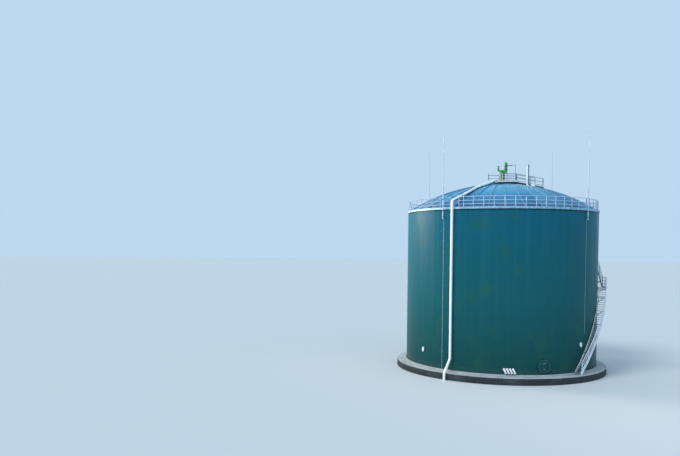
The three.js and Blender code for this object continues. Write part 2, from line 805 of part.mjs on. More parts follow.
// A nozzle comes out of the wall and turns down, leaning a little to the right, to an open flange
const NOZZLE = { radius: 80, flange: 118, out: 10230, high: 500, low: 140, lean: 190, bend: 120 };
const NOZZLE_AZIMUTHS = [3, 4.6, 6.2, 7.8];

function drainNozzle(azimuth) {
  const { radius, flange, out, high, low, lean, bend } = NOZZLE;
  const point = (x, distance, height) => new THREE.Vector3(x, -distance, WALL_FOOT + height);
  const corners = [point(0, 9960, high), point(0, out, high), point(lean, out, low)];
  const down = corners[2].clone().sub(corners[1]).setLength(50);
  const end = rod(corners[2].clone().sub(down), corners[2], flange);
  const collar = rod(point(0, 9960, high), point(0, 10050, high), flange);
  return join([pipe(corners, radius, bend), collar, end]).rotate([0, 0, azimuth]).subtract(wallTrim);
}

NOZZLE_AZIMUTHS.forEach((azimuth, i) => {
  addPiece(digester, `drain_nozzle_${i + 1}`, drainNozzle(azimuth), whitePaint);
});

const MANHOLE = [[9940, 10160, 540], [10150, 10210, 640]];
addPiece(digester, "manhole", onWall(24.6, WALL_FOOT + 830, MANHOLE), cladding);

// Stair: two flights with a landing between them and one at the rim

const { inner: stairInner, outer: stairOuter, plate, riser, perDegree } = STAIR;

const CHORD = 4.8; // the azimuth that one straight length of a stringer covers

// One side of a flight, between two radii and grown by a margin
function stringer(from, to, height, inner, outer, margin = 0) {
  const length = to - from;
  return band({
    from,
    to,
    lowFrom: height - STRINGER.below - margin,
    lowTo: height - STRINGER.below - margin + length * perDegree,
    deep: STRINGER.below + STRINGER.above + 2 * margin,
    inner,
    outer,
    steps: Math.round(length / CHORD),
  });
}

function treads(count, from, height) {
  const pieces = [];
  const middle = (stairInner + stairOuter) / 2;
  const wide = stairOuter - stairInner - plate;
  for (let i = 1; i <= count; i += 1) {
    const top = height + i * riser;
    const azimuth = from + (i * riser) / perDegree;
    pieces.push(boxAt(azimuth, middle, top - TREAD.thickness / 2, [TREAD.depth, wide, TREAD.thickness]));
  }
  return pieces;
}

// Brackets from the inner stringer to the wall
function stairBrackets(from, to, height) {
  const count = Math.max(1, Math.round((to - from) / 6));
  const pieces = [];
  for (let i = 0; i < count; i += 1) {
    const azimuth = from + ((i + 0.5) * (to - from)) / count;
    const level = height + (azimuth - from) * perDegree - 80;
    pieces.push(boxAt(azimuth, 10040, level, [80, 120, 120]));
  }
  return pieces;
}

// Where a flight of a stair begins and ends, half a step before its first and past its last tread
function flightSpan(from, height, first, count) {
  const pitch = riser / perDegree;
  return {
    start: from + (first + 0.5) * pitch,
    end: from + (first + count + 0.5) * pitch,
    low: height + (first + 0.5) * riser,
  };
}

function flight(from, height, first, count) {
  const { start, end, low } = flightSpan(from, height, first, count);
  const whole = join([
    stringer(start, end, low, stairInner, stairInner + plate),
    stringer(start, end, low, stairOuter - plate, stairOuter),
    ...treads(count, from + (first * riser) / perDegree, height + first * riser),
    ...stairBrackets(start, end, low),
  ]);
  return sector(whole, start, end).subtract(wallTrim);
}

// What stands beside a flight is trimmed by this, so that it ends at the outer stringer's face
function flightTrim(from, height, first, count) {
  const { start, end, low } = flightSpan(from, height, first, count);
  return stringer(start, end, low, stairInner, stairOuter + SEAT, SEAT);
}

function stairRailing(from, to, height, slope, trims) {
  const steps = Math.max(1, Math.round((to - from) / CHORD));
  const radius = stairOuter + 20;
  const posts = [];
  for (let i = 0; i <= steps; i += 1) {
    const azimuth = from + ((to - from) * i) / steps;
    const foot = height + (azimuth - from) * slope - POST_FOOT;
    const top = foot + POST_FOOT + STAIR_RAIL_HEIGHTS[STAIR_RAIL_HEIGHTS.length - 1] + POST_CAP;
    posts.push(boxAt(azimuth, radius, (foot + top) / 2, [POST_WIDTH, POST_WIDTH, top - foot]));
  }
  const rails = STAIR_RAIL_HEIGHTS.map((rail) =>
    band({
      from,
      to,
      lowFrom: height + rail - RAIL_WIDTH,
      lowTo: height + rail - RAIL_WIDTH + (to - from) * slope,
      deep: RAIL_WIDTH,
      inner: radius - 20,
      outer: radius + 20,
      steps,
    }),
  );
  return trims.reduce((whole, trim) => whole.subtract(trim), join([...posts, ...rails]));
}

// A landing's plate, between two azimuths and grown by a margin
function landingPlate(from, to, height, margin = 0) {
  const low = height - LANDING_THICKNESS - margin;
  return band({
    from,
    to,
    lowFrom: low,
    lowTo: low,
    deep: LANDING_THICKNESS + 2 * margin,
    inner: stairInner,
    outer: stairOuter + margin,
    steps: Math.ceil((to - from) / CHORD),
  });
}

function landing(from, to, height) {
  const beams = [from + 1, (from + to) / 2, to - 1].map((azimuth) =>
    boxAt(azimuth, 10300, height - 110, [80, 700, 120]),
  );
  return join([landingPlate(from, to, height), ...beams]).subtract(wallTrim);
}

const lowerStart = STAIR_FOOT_AZIMUTH;
const lowerEnd = lowerStart + ((LOWER_TREADS + 0.5) * riser) / perDegree;
const upperStart = LANDING_END_AZIMUTH;
const upperEnd = upperStart + ((UPPER_TREADS + 0.5) * riser) / perDegree;
const half = Math.ceil(LOWER_TREADS / 2);
const upperHalf = UPPER_TREADS / 2;
const topLevel = RIM + EAVE.top;
const lowerFlights = [
  [lowerStart, SLAB_HEIGHT, 0, half],
  [lowerStart, SLAB_HEIGHT, half, LOWER_TREADS - half],
];
const upperFlights = [
  [upperStart, STAIR_LANDING_HEIGHT, 0, upperHalf],
  [upperStart, STAIR_LANDING_HEIGHT, upperHalf, upperHalf],
];
const middleLanding = [lowerEnd + 0.01, upperStart + 0.4, STAIR_LANDING_HEIGHT];
const topLanding = [upperEnd + 0.01, STAIR_GATE.to + 1, topLevel];

[...lowerFlights, ...upperFlights].forEach((place, i) => {
  addPiece(digester, `stair_flight_${i + 1}`, flight(...place), galvanised);
});
addPiece(digester, "stair_landing_middle", landing(...middleLanding), galvanised);
addPiece(digester, "stair_landing_top", landing(...topLanding), galvanised);

function addStairRailing(name, from, to, height, slope, trims) {
  addPiece(digester, `stair_railing_${name}`, stairRailing(from, to, height, slope, trims), galvanised);
}

addStairRailing(
  "lower",
  lowerStart + 1,
  lowerEnd - 0.5,
  SLAB_HEIGHT + riser,
  perDegree,
  lowerFlights.map((place) => flightTrim(...place)),
);
addStairRailing("middle", lowerEnd + 0.5, upperStart - 0.3, STAIR_LANDING_HEIGHT, 0, [
  landingPlate(...middleLanding, SEAT),
]);
addStairRailing(
  "upper",
  upperStart + 0.5,
  upperEnd - 0.5,
  STAIR_LANDING_HEIGHT + riser / 2,
  perDegree,
  [...upperFlights.map((place) => flightTrim(...place)), landingPlate(...middleLanding, SEAT)],
);
addStairRailing("top", upperEnd + 0.5, STAIR_GATE.to + 0.6, topLevel, 0, [landingPlate(...topLanding, SEAT)]);

export default digester;
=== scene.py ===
"""A biogas digester in its finishes: a round tank in teal cladding on a concrete slab, with a light
blue domed roof, galvanised railings and stair, a white gas pipe and a green relief valve.

Metres, +Z up. An azimuth is in degrees: 0 faces -Y, the front, and 90 faces +X.
"""
import math

import bmesh
import bpy
from mathutils import Matrix, Vector


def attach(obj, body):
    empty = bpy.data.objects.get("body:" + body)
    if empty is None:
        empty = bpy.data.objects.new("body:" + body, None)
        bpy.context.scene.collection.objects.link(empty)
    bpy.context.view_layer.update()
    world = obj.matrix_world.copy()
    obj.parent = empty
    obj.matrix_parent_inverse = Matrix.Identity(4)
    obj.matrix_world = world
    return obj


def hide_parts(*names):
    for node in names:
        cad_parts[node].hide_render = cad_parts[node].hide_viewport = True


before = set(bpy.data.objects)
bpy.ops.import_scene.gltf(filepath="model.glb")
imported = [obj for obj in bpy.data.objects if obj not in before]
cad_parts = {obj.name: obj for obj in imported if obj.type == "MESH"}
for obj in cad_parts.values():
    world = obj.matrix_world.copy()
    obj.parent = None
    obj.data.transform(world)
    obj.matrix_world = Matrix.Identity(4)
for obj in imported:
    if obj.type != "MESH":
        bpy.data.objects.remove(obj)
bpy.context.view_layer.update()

# Sizes, as the solids have them
SLAB_RADIUS = 11.02
SLAB_TOP = 0.65
KERB_RADIUS = 10.18
WALL_FOOT = 0.83
WALL_RADIUS = 10.0
WALL_INNER = 9.88
WALL_PLATE = 10.022
RIM = 16.66
ROOF_RISE = 3.05
DOME_RADIUS = (WALL_RADIUS**2 + ROOF_RISE**2) / (2 * ROOF_RISE)
RIB_COUNT = 36
RIB_PITCH = 360 / RIB_COUNT
RIB_AZIMUTH = 3.0
RIB_HEIGHT = 0.08
CROWN_HOLE = 1.4
EAVE_INNER = 9.82
EAVE_OUTER = 10.06
EAVE_TOP = RIM + 0.145
UPRIGHT = (0.0, 0.0, 1.0)
AXIS = (0.0, 0.0, 0.0)
SEAM = 0.0001


# Placing

def at(azimuth, radius, height=0.0):
    """A point of the tank by azimuth, radius and height."""
    turn = math.radians(azimuth)
    return Vector((radius * math.sin(turn), -radius * math.cos(turn), height))


def shift(x, y, z):
    """A place moved from the origin, unturned."""
    return Matrix.Translation((x, y, z))


def quarter(axis):
    """A quarter turn round an axis."""
    return Matrix.Rotation(math.radians(90), 4, axis)


def facing(azimuth, radius, height=0.0):
    """A place on the tank where X runs along the wall to the right, Y inwards and Z up."""
    return Matrix.Rotation(math.radians(azimuth), 4, "Z") @ shift(0.0, -radius, height)


def outward(azimuth, radius, height):
    """A place on the tank whose Z points straight out of the wall."""
    return facing(azimuth, radius, height) @ quarter("X")


def along(start, end):
    """A place at the start whose Z points to the end."""
    direction = Vector(end) - Vector(start)
    return Matrix.Translation(start) @ direction.to_track_quat("Z", "Y").to_matrix().to_4x4()


def dome_height(radius):
    """The roof skin's height over ground at a radius."""
    return RIM + math.sqrt(DOME_RADIUS**2 - radius**2) - (DOME_RADIUS - ROOF_RISE)


def on_dome(x, y, over):
    """A point at a height over the roof skin."""
    return Vector((x, y, dome_height(math.hypot(x, y)) + over))


# Shapes

def block(part, size, place, offset=AXIS):
    """A box of the given size with its middle at the place, or at an offset from it."""
    matrix = place @ Matrix.Translation(offset) @ Matrix.Diagonal((*size, 1.0))
    bmesh.ops.create_cube(part, size=1.0, matrix=matrix)


def bar(part, start, end, wide, deep, lift=0.0):
    """A flat bar from point to point, with its broad side up."""
    start, end = Vector(start), Vector(end)
    x = (end - start).normalized()
    y = Vector(UPRIGHT).cross(x)
    y = y.normalized() if y.length > 1e-6 else Vector((0.0, 1.0, 0.0))
    z = x.cross(y)
    turn = Matrix((x, y, z)).transposed().to_4x4()
    place = Matrix.Translation((start + end) / 2 + z * lift) @ turn
    block(part, ((end - start).length, wide, deep), place)


def rod(part, start, end, radius, end_radius=None, sides=12):
    """A round bar from point to point."""
    length = (Vector(end) - Vector(start)).length
    return bmesh.ops.create_cone(
        part,
        cap_ends=True,
        segments=sides,
        radius1=radius,
        radius2=radius if end_radius is None else end_radius,
        depth=length,
        matrix=along(start, end) @ shift(0.0, 0.0, length / 2),
    )["verts"]


def band(inner, outer, low, high):
    """The corners of a rectangular section."""
    return [(inner, low), (outer, low), (outer, high), (inner, high)]


def closed(profile):
    """A profile that ends where it starts."""
    return profile + profile[:1]


def turned(part, profile, place=None, steps=32):
    """A profile of (radius, height) points turned full round the place's Z."""
    place = place or Matrix.Identity(4)
    before = set(part.verts)
    points = [part.verts.new(place @ Vector((radius, 0.0, height))) for radius, height in profile]
    lines = [part.edges.new(pair) for pair in zip(points, points[1:])]
    bmesh.ops.spin(
        part,
        geom=points + lines,
        cent=place.translation,
        axis=place.to_3x3() @ Vector(UPRIGHT),
        angle=math.tau,
        steps=steps,
        use_merge=True,
    )
    made = [vert for vert in part.verts if vert not in before]
    bmesh.ops.remove_doubles(part, verts=made, dist=SEAM)


def swept(part, section, start, end, steps, rise=0.0):
    """A closed section of (radius, height) points carried round the tank, climbing by rise."""
    points = [part.verts.new(at(start, radius, height)) for radius, height in section]
    carried(part, part.faces.new(points), end - start, steps, rise)


def carried(part, face, span, steps, rise):
    """Carries a face round the tank's axis through a span in degrees, climbing by rise."""
    bmesh.ops.spin(
        part,
        geom=[face],
        cent=AXIS,
        axis=UPRIGHT,
        dvec=(0.0, 0.0, rise / steps),
        angle=math.radians(span),
        steps=steps,
        use_duplicate=False,
    )


def round_rail(part, start, end, ring, height, rise, pitch):
    """A tube that follows the tank at the radius ring, climbing by rise."""
    slope = math.atan2(rise, math.radians(end - start) * ring)
    place = facing(start, ring, height) @ Matrix.Rotation(-slope, 4, "Y") @ quarter("Y")
    circle = bmesh.ops.create_circle(part, cap_ends=True, segments=8, radius=TUBE, matrix=place)
    face = circle["verts"][0].link_faces[0]
    carried(part, face, end - start, max(2, round((end - start) / pitch)), rise)


def pushed(part, face, offset):
    """Draws a face out by an offset and gives the face that now ends the shape."""
    made = bmesh.ops.extrude_face_region(part, geom=[face])["geom"]
    verts = [item for item in made if isinstance(item, bmesh.types.BMVert)]
    bmesh.ops.translate(part, verts=verts, vec=offset)
    return next(item for item in made if isinstance(item, bmesh.types.BMFace))


def pipe(part, corners, radius, bend, sides=12, bend_steps=6):
    """A round pipe through the corners, turned at one bend radius or at one for each corner."""
    corners = [Vector(corner) for corner in corners]
    bends = bend if isinstance(bend, tuple) else (bend,) * (len(corners) - 2)
    heading = (corners[1] - corners[0]).normalized()
    circle = bmesh.ops.create_circle(
        part, cap_ends=True, segments=sides, radius=radius, matrix=along(corners[0], corners[1])
    )
    face = circle["verts"][0].link_faces[0]
    here = corners[0]
    for corner, after, curve in zip(corners[1:-1], corners[2:], bends):
        leaving = (after - corner).normalized()
        turn = heading.angle(leaving)
        if turn < 0.01:
            continue
        trim = curve * math.tan(turn / 2)
        face = pushed(part, face, corner - heading * trim - here)
        axis = heading.cross(leaving).normalized()
        made = bmesh.ops.spin(
            part,
            geom=[face],
            cent=corner - heading * trim + axis.cross(heading) * curve,
            axis=axis,
            angle=turn,
            steps=bend_steps,
            use_duplicate=False,
        )["geom_last"]
        face = next(item for item in made if isinstance(item, bmesh.types.BMFace))
        here = corner + leaving * trim
        heading = leaving
    pushed(part, face, corners[-1] - here)


def repeated(part, count, verts=None, span=None, axis=UPRIGHT, centre=AXIS, rise=0.0):
    """Repeats some or all of a part until there are count of it, evenly all round or spread
    through a span in degrees."""
    verts = verts or list(part.verts)
    span = 360 * (count - 1) / count if span is None else span
    edges = {edge for vert in verts for edge in vert.link_edges}
    faces = {face for vert in verts for face in vert.link_faces}
    bmesh.ops.spin(
        part,
        geom=[*verts, *edges, *faces],
        cent=centre,
        axis=axis,
        dvec=(0.0, 0.0, rise / (count - 1)),
        angle=math.radians(span),
        steps=count - 1,
        use_duplicate=True,
    )


def bolt_circle(part, place, circle, count, head, high=0.016):
    """Hexagon bolt heads in a circle on the place's XY plane."""
    axis = place.to_3x3() @ Vector(UPRIGHT)
    middle = place @ shift(circle, 0.0, high / 2)
    made = bmesh.ops.create_cone(
        part, cap_ends=True, segments=6, radius1=head, radius2=head, depth=high, matrix=middle
    )["verts"]
    repeated(part, count, made, axis=axis, centre=place.translation)


def softened(part, width, segments=1):
    """Rounds every edge that turns by more than 40 degrees."""
    limit = math.radians(40)
    sharp = [
        edge for edge in part.edges if len(edge.link_faces) == 2 and edge.calc_face_angle() > limit
    ]
    bmesh.ops.bevel(
        part,
        geom=sharp,
        offset=width,
        segments=segments,
        profile=0.5,
        affect="EDGES",
        material=-1,
        clamp_overlap=True,
    )


def placed(name, data):
    """An object of the scene that holds the data."""
    made = bpy.data.objects.new(name, data)
    bpy.context.scene.collection.objects.link(made)
    return made


class Piece:
    """One piece of the digester, put together from parts that each have one finish."""

    def __init__(self, name, slot, *nodes):
        self.name = name
        self.slot = slot
        self.nodes = nodes
        self.parts = []

    def part(self, finish, crease=38):
        """A new part in a finish. Edges that turn by more than the crease stay crisp."""
        part = bmesh.new()
        self.parts.append((part, finish, math.radians(crease)))
        return part

    def done(self):
        """Joins the parts in one object, which rides on the tank and stands for its solids."""
        whole = bmesh.new()
        finishes = []
        for part, finish, crease in self.parts:
            if finish not in finishes:
                finishes.append(finish)
            inner = [f for f in part.faces if all(len(edge.link_faces) > 2 for edge in f.edges)]
            bmesh.ops.delete(part, geom=inner, context="FACES_ONLY")
            bmesh.ops.recalc_face_normals(part, faces=part.faces)
            for face in part.faces:
                face.smooth = True
                face.material_index = finishes.index(finish)
            for edge in part.edges:
                edge.smooth = len(edge.link_faces) == 2 and edge.calc_face_angle() < crease
            carrier = bpy.data.meshes.new("carrier")
            part.to_mesh(carrier)
            part.free()
            whole.from_mesh(carrier)
            bpy.data.meshes.remove(carrier)
        mesh = bpy.data.meshes.new(self.name)
        whole.to_mesh(mesh)
        whole.free()
        for finish in finishes:
            mesh.materials.append(finish)
        made = placed(self.name, mesh)
        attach(made, "root")
        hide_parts(*self.nodes)


# Finishes

MIX_FACTOR, MIX_FIRST, MIX_SECOND, MIX_RESULT = 0, 6, 7, 2


def paint_colour(code):
    """An sRGB hex colour as the linear colour that a socket takes."""
    parts = [int(code[i : i + 2], 16) / 255 for i in (1, 3, 5)]
    linear = [c / 12.92 if c <= 0.04045 else ((c + 0.055) / 1.055) ** 2.4 for c in parts]
    return (*linear, 1.0)


def add_node(tree, kind, sockets, out=0, **settings):
    """Adds a node with its settings, gives each socket a value, a hex colour or a link, and
    returns one of its outputs."""
    made = tree.nodes.new("ShaderNode" + kind)
    for name, value in settings.items():
        if name == "stops":
            elements = made.color_ramp.elements
            while len(elements) < len(value):
                elements.new(1.0)
            for element, (position, code) in zip(elements, value):
                element.position = position
                element.color = paint_colour(code)
        else:
            setattr(made, name, value)
    for name, value in sockets.items():
        if isinstance(value, bpy.types.NodeSocket):
            tree.links.new(value, made.inputs[name])
        else:
            value = paint_colour(value) if isinstance(value, str) else value
            made.inputs[name].default_value = value
    return made.outputs[out]


def new_finish(name, sockets):
    """A material with its shader's sockets set, its tree and the object's own coordinates."""
    material = bpy.data.materials.new(name)
    material.use_nodes = True
    tree = material.node_tree
    tree.nodes.clear()
    surface = add_node(tree, "BsdfPrincipled", sockets)
    output = tree.nodes.new("ShaderNodeOutputMaterial")
    tree.links.new(surface, output.inputs["Surface"])
    return material, tree, add_node(tree, "TexCoord", {}, "Object")


def tinted(tree, under, tint, pattern, limits, shares, weight=None):
    """Lays a tint over a colour: its share goes from the first to the second of the shares as the
    pattern goes from one limit to the other, and a second pattern may weigh it."""
    share = add_node(tree, "MapRange", {
        "Value": pattern, "From Min": limits[0], "From Max": limits[1],
        "To Min": shares[0], "To Max": shares[1],
    })
    if weight:
        share = add_node(tree, "Math", {0: share, 1: weight}, operation="MULTIPLY")
    sockets = {MIX_FACTOR: share, MIX_FIRST: under, MIX_SECOND: tint}
    return add_node(tree, "Mix", sockets, MIX_RESULT, data_type="RGBA")


def finished(material, colour, gloss, relief):
    """Gives the shader its colour, a roughness mapped from a pattern, and a pattern's relief."""
    tree = material.node_tree
    shader = tree.nodes["Principled BSDF"]
    tree.links.new(colour, shader.inputs["Base Color"])
    tree.links.new(add_node(tree, "MapRange", gloss), shader.inputs["Roughness"])
    tree.links.new(add_node(tree, "Bump", relief), shader.inputs["Normal"])
    return material


def clad_wall_paint():
    """Coated steel sheet, roll-formed and painted teal: satin, with rain runs down the ribs,
    olive bloom in patches and dust at the foot. Its colour by height is painted light: a painted
    shadow line at the foot, a painted reflection from grass green low down to sky blue up high,
    and painted shade under the capping."""
    sockets = {"IOR": 1.42, "Metallic": 0.0, "Specular IOR Level": 0.1}
    material, tree, coords = new_finish("coated_cladding_sheet", sockets)
    height = add_node(tree, "SeparateXYZ", {"Vector": coords}, "Z")
    rise = add_node(tree, "MapRange", {"Value": height, "From Min": WALL_FOOT, "From Max": RIM})
    # Painted by height: shadow at the foot, a grass-to-sky reflection and shade under the capping
    colour = add_node(tree, "ValToRGB", {"Fac": rise}, stops=[
        (0.0, "#0c2e30"), (0.011, "#174a49"), (0.45, "#155b62"),
        (0.983, "#115f74"), (0.989, "#08404f"), (1.0, "#06323f"),
    ])
    streaks = add_node(tree, "Mapping", {"Vector": coords, "Scale": (2.2, 2.2, 0.09)})
    runs, blooms, dust, waves = (
        add_node(tree, "TexNoise", {
            "Vector": place, "Scale": scale, "Detail": detail, "Roughness": rough,
        })
        for place, scale, detail, rough in (
            (streaks, 1.0, 5.0, 0.6), (coords, 0.42, 6.0, 0.62),
            (coords, 2.5, 5.0, 0.7), (coords, 0.9, 2.0, 0.5),
        )
    )
    colour = tinted(tree, colour, "#2a6c7e", runs, (0.45, 0.75), (0.0, 0.4), rise)
    colour = tinted(tree, colour, "#2a5f4c", blooms, (0.52, 0.72), (0.0, 0.5))
    colour = tinted(tree, colour, "#5f7068", height, (WALL_FOOT, 1.5), (0.3, 0.0), dust)
    return finished(
        material,
        colour,
        {"Value": runs, "From Min": 0.35, "From Max": 0.65, "To Min": 0.28, "To Max": 0.5},
        {"Height": waves, "Strength": 0.5, "Distance": 0.02},
    )


def mottled_finish(name, sockets, colours, grain, rough, bump, stain=None, streak=1.0):
    """A finish whose colour wanders between a dark and a light one over a grain in metres, with a
    second tint in broad stains, a roughness that follows the grain, and a shallow relief."""
    material, tree, coords = new_finish(name, sockets)
    place = add_node(tree, "Mapping", {"Vector": coords, "Scale": (1.0, 1.0, streak)})
    pattern = {"Vector": place, "Scale": 1.0 / grain, "Detail": 6.0, "Roughness": 0.6}
    fine = add_node(tree, "TexNoise", pattern)
    colour = tinted(tree, *colours, fine, (0.35, 0.65), (0.0, 1.0))
    if stain:
        tint, size, most = stain
        pattern = {"Vector": place, "Scale": 1.0 / size, "Detail": 5.0, "Roughness": 0.65}
        broad = add_node(tree, "TexNoise", pattern)
        colour = tinted(tree, colour, tint, broad, (0.52, 0.72), (0.0, most))
    return finished(
        material,
        colour,
        {"Value": fine, "To Min": rough[0], "To Max": rough[1]},
        {"Height": fine, "Strength": 0.6, "Distance": bump},
    )


def slab_concrete():
    """Cast concrete, fair-faced from the form, its top trowelled: the side is dark as painted shade
    and the top is pale as painted light."""
    material, tree, coords = new_finish("cast_concrete", {"IOR": 1.5, "Metallic": 0.0})
    height = add_node(tree, "SeparateXYZ", {"Vector": coords}, "Z")
    pattern = {"Vector": coords, "Scale": 6.0, "Detail": 8.0, "Roughness": 0.7}
    pores = add_node(tree, "TexNoise", pattern)
    pattern = {"Vector": coords, "Scale": 0.7, "Detail": 5.0, "Roughness": 0.6}
    blotches = add_node(tree, "TexNoise", pattern)
    # Dark side as painted shade, pale top as painted light, both mottled by one noise
    side, top = (
        add_node(tree, "ValToRGB", {"Fac": blotches}, stops=stops)
        for stops in (
            [(0.3, "#23292e"), (0.55, "#343b41"), (0.8, "#485157")],
            [(0.25, "#969ea2"), (0.55, "#b3b9bb"), (0.8, "#c9cdcc")],
        )
    )
    ragged = add_node(tree, "Math", {0: pores, 1: 0.03, 2: height}, operation="MULTIPLY_ADD")
    return finished(
        material,
        tinted(tree, side, top, ragged, (SLAB_TOP, 0.66), (0.0, 1.0)),
        {"Value": pores, "To Min": 0.8, "To Max": 0.98},
        {"Height": pores, "Strength": 0.7, "Distance": 0.012},
    )


def roof_sheet_paint():
    """Coated roof sheet, flat panels between ribs: light blue, each panel a shade of its own. Its
    colour by height is painted light, deepened by painted shade towards the eave and made paler
    and greener near the crown by a painted sky reflection, and the panels at the left are made
    paler by a painted highlight."""
    sockets = {"IOR": 1.5, "Metallic": 0.0, "Specular IOR Level": 0.3}
    material, tree, coords = new_finish("coated_roof_sheet", sockets)
    parts = add_node(tree, "SeparateXYZ", {"Vector": coords}).node.outputs
    number = add_node(tree, "Math", {0: parts["Y"], 1: -1.0}, operation="MULTIPLY")
    number = add_node(tree, "Math", {0: parts["X"], 1: number}, operation="ARCTAN2")
    for operation, *others in (
        ("MULTIPLY_ADD", RIB_COUNT / math.tau, -RIB_AZIMUTH / RIB_PITCH),
        ("FLOOR",),
        ("WRAP", float(RIB_COUNT), 0.0),
    ):
        number = add_node(tree, "Math", dict(enumerate([number, *others])), operation=operation)
    shade = add_node(tree, "TexWhiteNoise", {"W": number}, noise_dimensions="1D")
    limits = {"From Min": RIM, "From Max": RIM + ROOF_RISE}
    low = add_node(tree, "MapRange", {"Value": parts["Z"], **limits})
    # By height: painted shade towards the eave and a painted sky reflection near the crown
    stops = [(0.0, "#06395f"), (0.12, "#0a4d7e"), (0.5, "#287dab"), (1.0, "#6ebbd2")]
    colour = add_node(tree, "ValToRGB", {"Fac": low}, stops=stops)
    pattern = {"Vector": coords, "Scale": 1.1, "Detail": 6.0, "Roughness": 0.65}
    grime = add_node(tree, "TexNoise", pattern)
    colour = tinted(tree, colour, "#6cbcda", shade, (0.0, 1.0), (0.0, 0.25))
    # Paler panels at the left: a painted highlight
    colour = tinted(tree, colour, "#a9bfcf", parts["X"], (-5.4, -8.6), (0.0, 0.5))
    colour = tinted(tree, colour, "#2f6a98", grime, (0.5, 0.75), (0.0, 0.35))
    return finished(
        material,
        colour,
        {"Value": grime, "To Min": 0.38, "To Max": 0.58},
        {"Height": grime, "Strength": 0.4, "Distance": 0.01},
    )


cladding = clad_wall_paint()
concrete = slab_concrete()
roof_sheet = roof_sheet_paint()

# Trowelled screed on the kerb: paler than the slab, matt and finely pitted
kerb_screed = mottled_finish(
    "trowelled_screed", {"IOR": 1.5}, ("#929a9d", "#b4babb"), 0.16, (0.8, 0.95), 0.006,
    stain=("#6c7578", 1.1, 0.6),
)
# Painted steel strip over the roof's ribs: slate blue, satin, a little chalky; dark in part as
# painted shade
rib_paint = mottled_finish(
    "slate_blue_rib_paint", {"IOR": 1.5}, ("#3a6d90", "#5289ac"), 0.3, (0.45, 0.6), 0.001,
    stain=("#7fa9c2", 0.9, 0.5),
)
# A strip along the ribs' tops, paler than the paint under it as a painted highlight, dull
rib_highlight_strip = mottled_finish(
    "rib_top_painted_highlight", {"Metallic": 0.35}, ("#6f9dbc", "#a5c9de"), 0.2, (0.4, 0.6), 0.0008,
    stain=("#54809f", 0.7, 0.5),
)
# Folded aluminium capping at the eave: pale, dull, with grey water marks
eave_aluminium = mottled_finish(
    "folded_aluminium_capping", {"Metallic": 0.35}, ("#74a2be", "#a1c9df"), 0.25, (0.5, 0.7),
    0.001, stain=("#5b88a4", 0.8, 0.5),
)
# Hot-dip galvanised steel: dull pale grey with a spangle that is drawn as coarse as it shows
galvanised = mottled_finish(
    "hot_dip_galvanised_steel", {"Metallic": 0.35}, ("#a3afb9", "#dae2e8"), 0.06, (0.42, 0.62),
    0.0006, stain=("#808b95", 0.7, 0.5),
)
# New galvanised tube of the rails and rods: paler and less metallic to the eye than the plates
rail_tube = mottled_finish(
    "pale_galvanised_tube", {"Metallic": 0.25}, ("#98bcd4", "#c6deec"), 0.06, (0.42, 0.6), 0.0005,
    stain=("#84a8c0", 0.6, 0.4),
)
# The same tube on the rim's other sides: a shade greyer, as painted shade
dull_tube = mottled_finish(
    "dull_galvanised_tube", {"Metallic": 0.3}, ("#7f9fbd", "#a8c2d6"), 0.06, (0.45, 0.65), 0.0005,
    stain=("#6c8aa8", 0.6, 0.4),
)
# Galvanised tube on the crown: a slate-like grey, dull, darkened as painted shade
shaded_tube = mottled_finish(
    "galvanised_tube_painted_shade", {"Metallic": 0.3}, ("#70839a", "#9db0c4"), 0.06, (0.5, 0.7),
    0.0006, stain=("#5b6b80", 0.5, 0.5),
)
# Galvanised steel of the treads: a dull mid grey, darkened as painted shade in the grating
tread_steel = mottled_finish(
    "galvanised_grating_painted_shade", {"Metallic": 0.35}, ("#565f6c", "#858f9c"), 0.08, (0.5, 0.75),
    0.0008, stain=("#3f4853", 0.4, 0.6),
)
# Galvanised steel of the stair's outer side: nearly white as painted light, with a fine spangle
bright_steel = mottled_finish(
    "bright_galvanised_steel", {"Metallic": 0.15}, ("#cbd8e1", "#f3f8fb"), 0.06, (0.35, 0.55),
    0.0005, stain=("#a9b9c6", 0.5, 0.5),
)
# Slate-grey paint: dark, satin, with paler chalky patches. On the crown's cap and beams, the gas
# pipe's carrier, the vent's mast and the valve's right pipe its darkness is painted shade
slate_paint = mottled_finish(
    "slate_grey_plate_paint", {"IOR": 1.5}, ("#2c3748", "#3f4c60"), 0.2, (0.45, 0.65), 0.001,
    stain=("#66758a", 0.5, 0.4),
)
# White gloss paint on rolled steel pipe: clean with faint grey rain runs down its length
white_paint = mottled_finish(
    "white_gloss_pipe_paint", {"IOR": 1.5}, ("#eef2f3", "#fdfefd"), 0.4, (0.3, 0.45), 0.0008,
    stain=("#c3ccd0", 0.5, 0.4), streak=0.25,
)
# Green gloss enamel on cast steel: bright, with the sand-cast skin under it
valve_enamel = mottled_finish(
    "green_gloss_enamel", {"IOR": 1.5}, ("#127024", "#2a9638"), 0.12, (0.25, 0.42), 0.003,
    stain=("#0b4a20", 0.25, 0.7),
)
# The same enamel on the valve's body: chalked to a lighter green, with darker runs
worn_enamel = mottled_finish(
    "worn_green_enamel", {"IOR": 1.5}, ("#3f9f49", "#63bd66"), 0.15, (0.4, 0.6), 0.002,
    stain=("#1f6f50", 0.3, 0.7),
)
# Green enamel on the valve's standing pipe: a yellowish pale green as painted light, chalky
lit_enamel = mottled_finish(
    "green_enamel_painted_light", {"IOR": 1.5}, ("#7fae62", "#b4cf8e"), 0.14, (0.5, 0.7), 0.002,
    stain=("#3e8743", 0.3, 0.7),
)
# Moulded black rubber: matt dark grey, dusty
rubber = mottled_finish(
    "moulded_gasket_rubber", {"IOR": 1.52}, ("#23272a", "#353b3f"), 0.05, (0.7, 0.9), 0.001
)
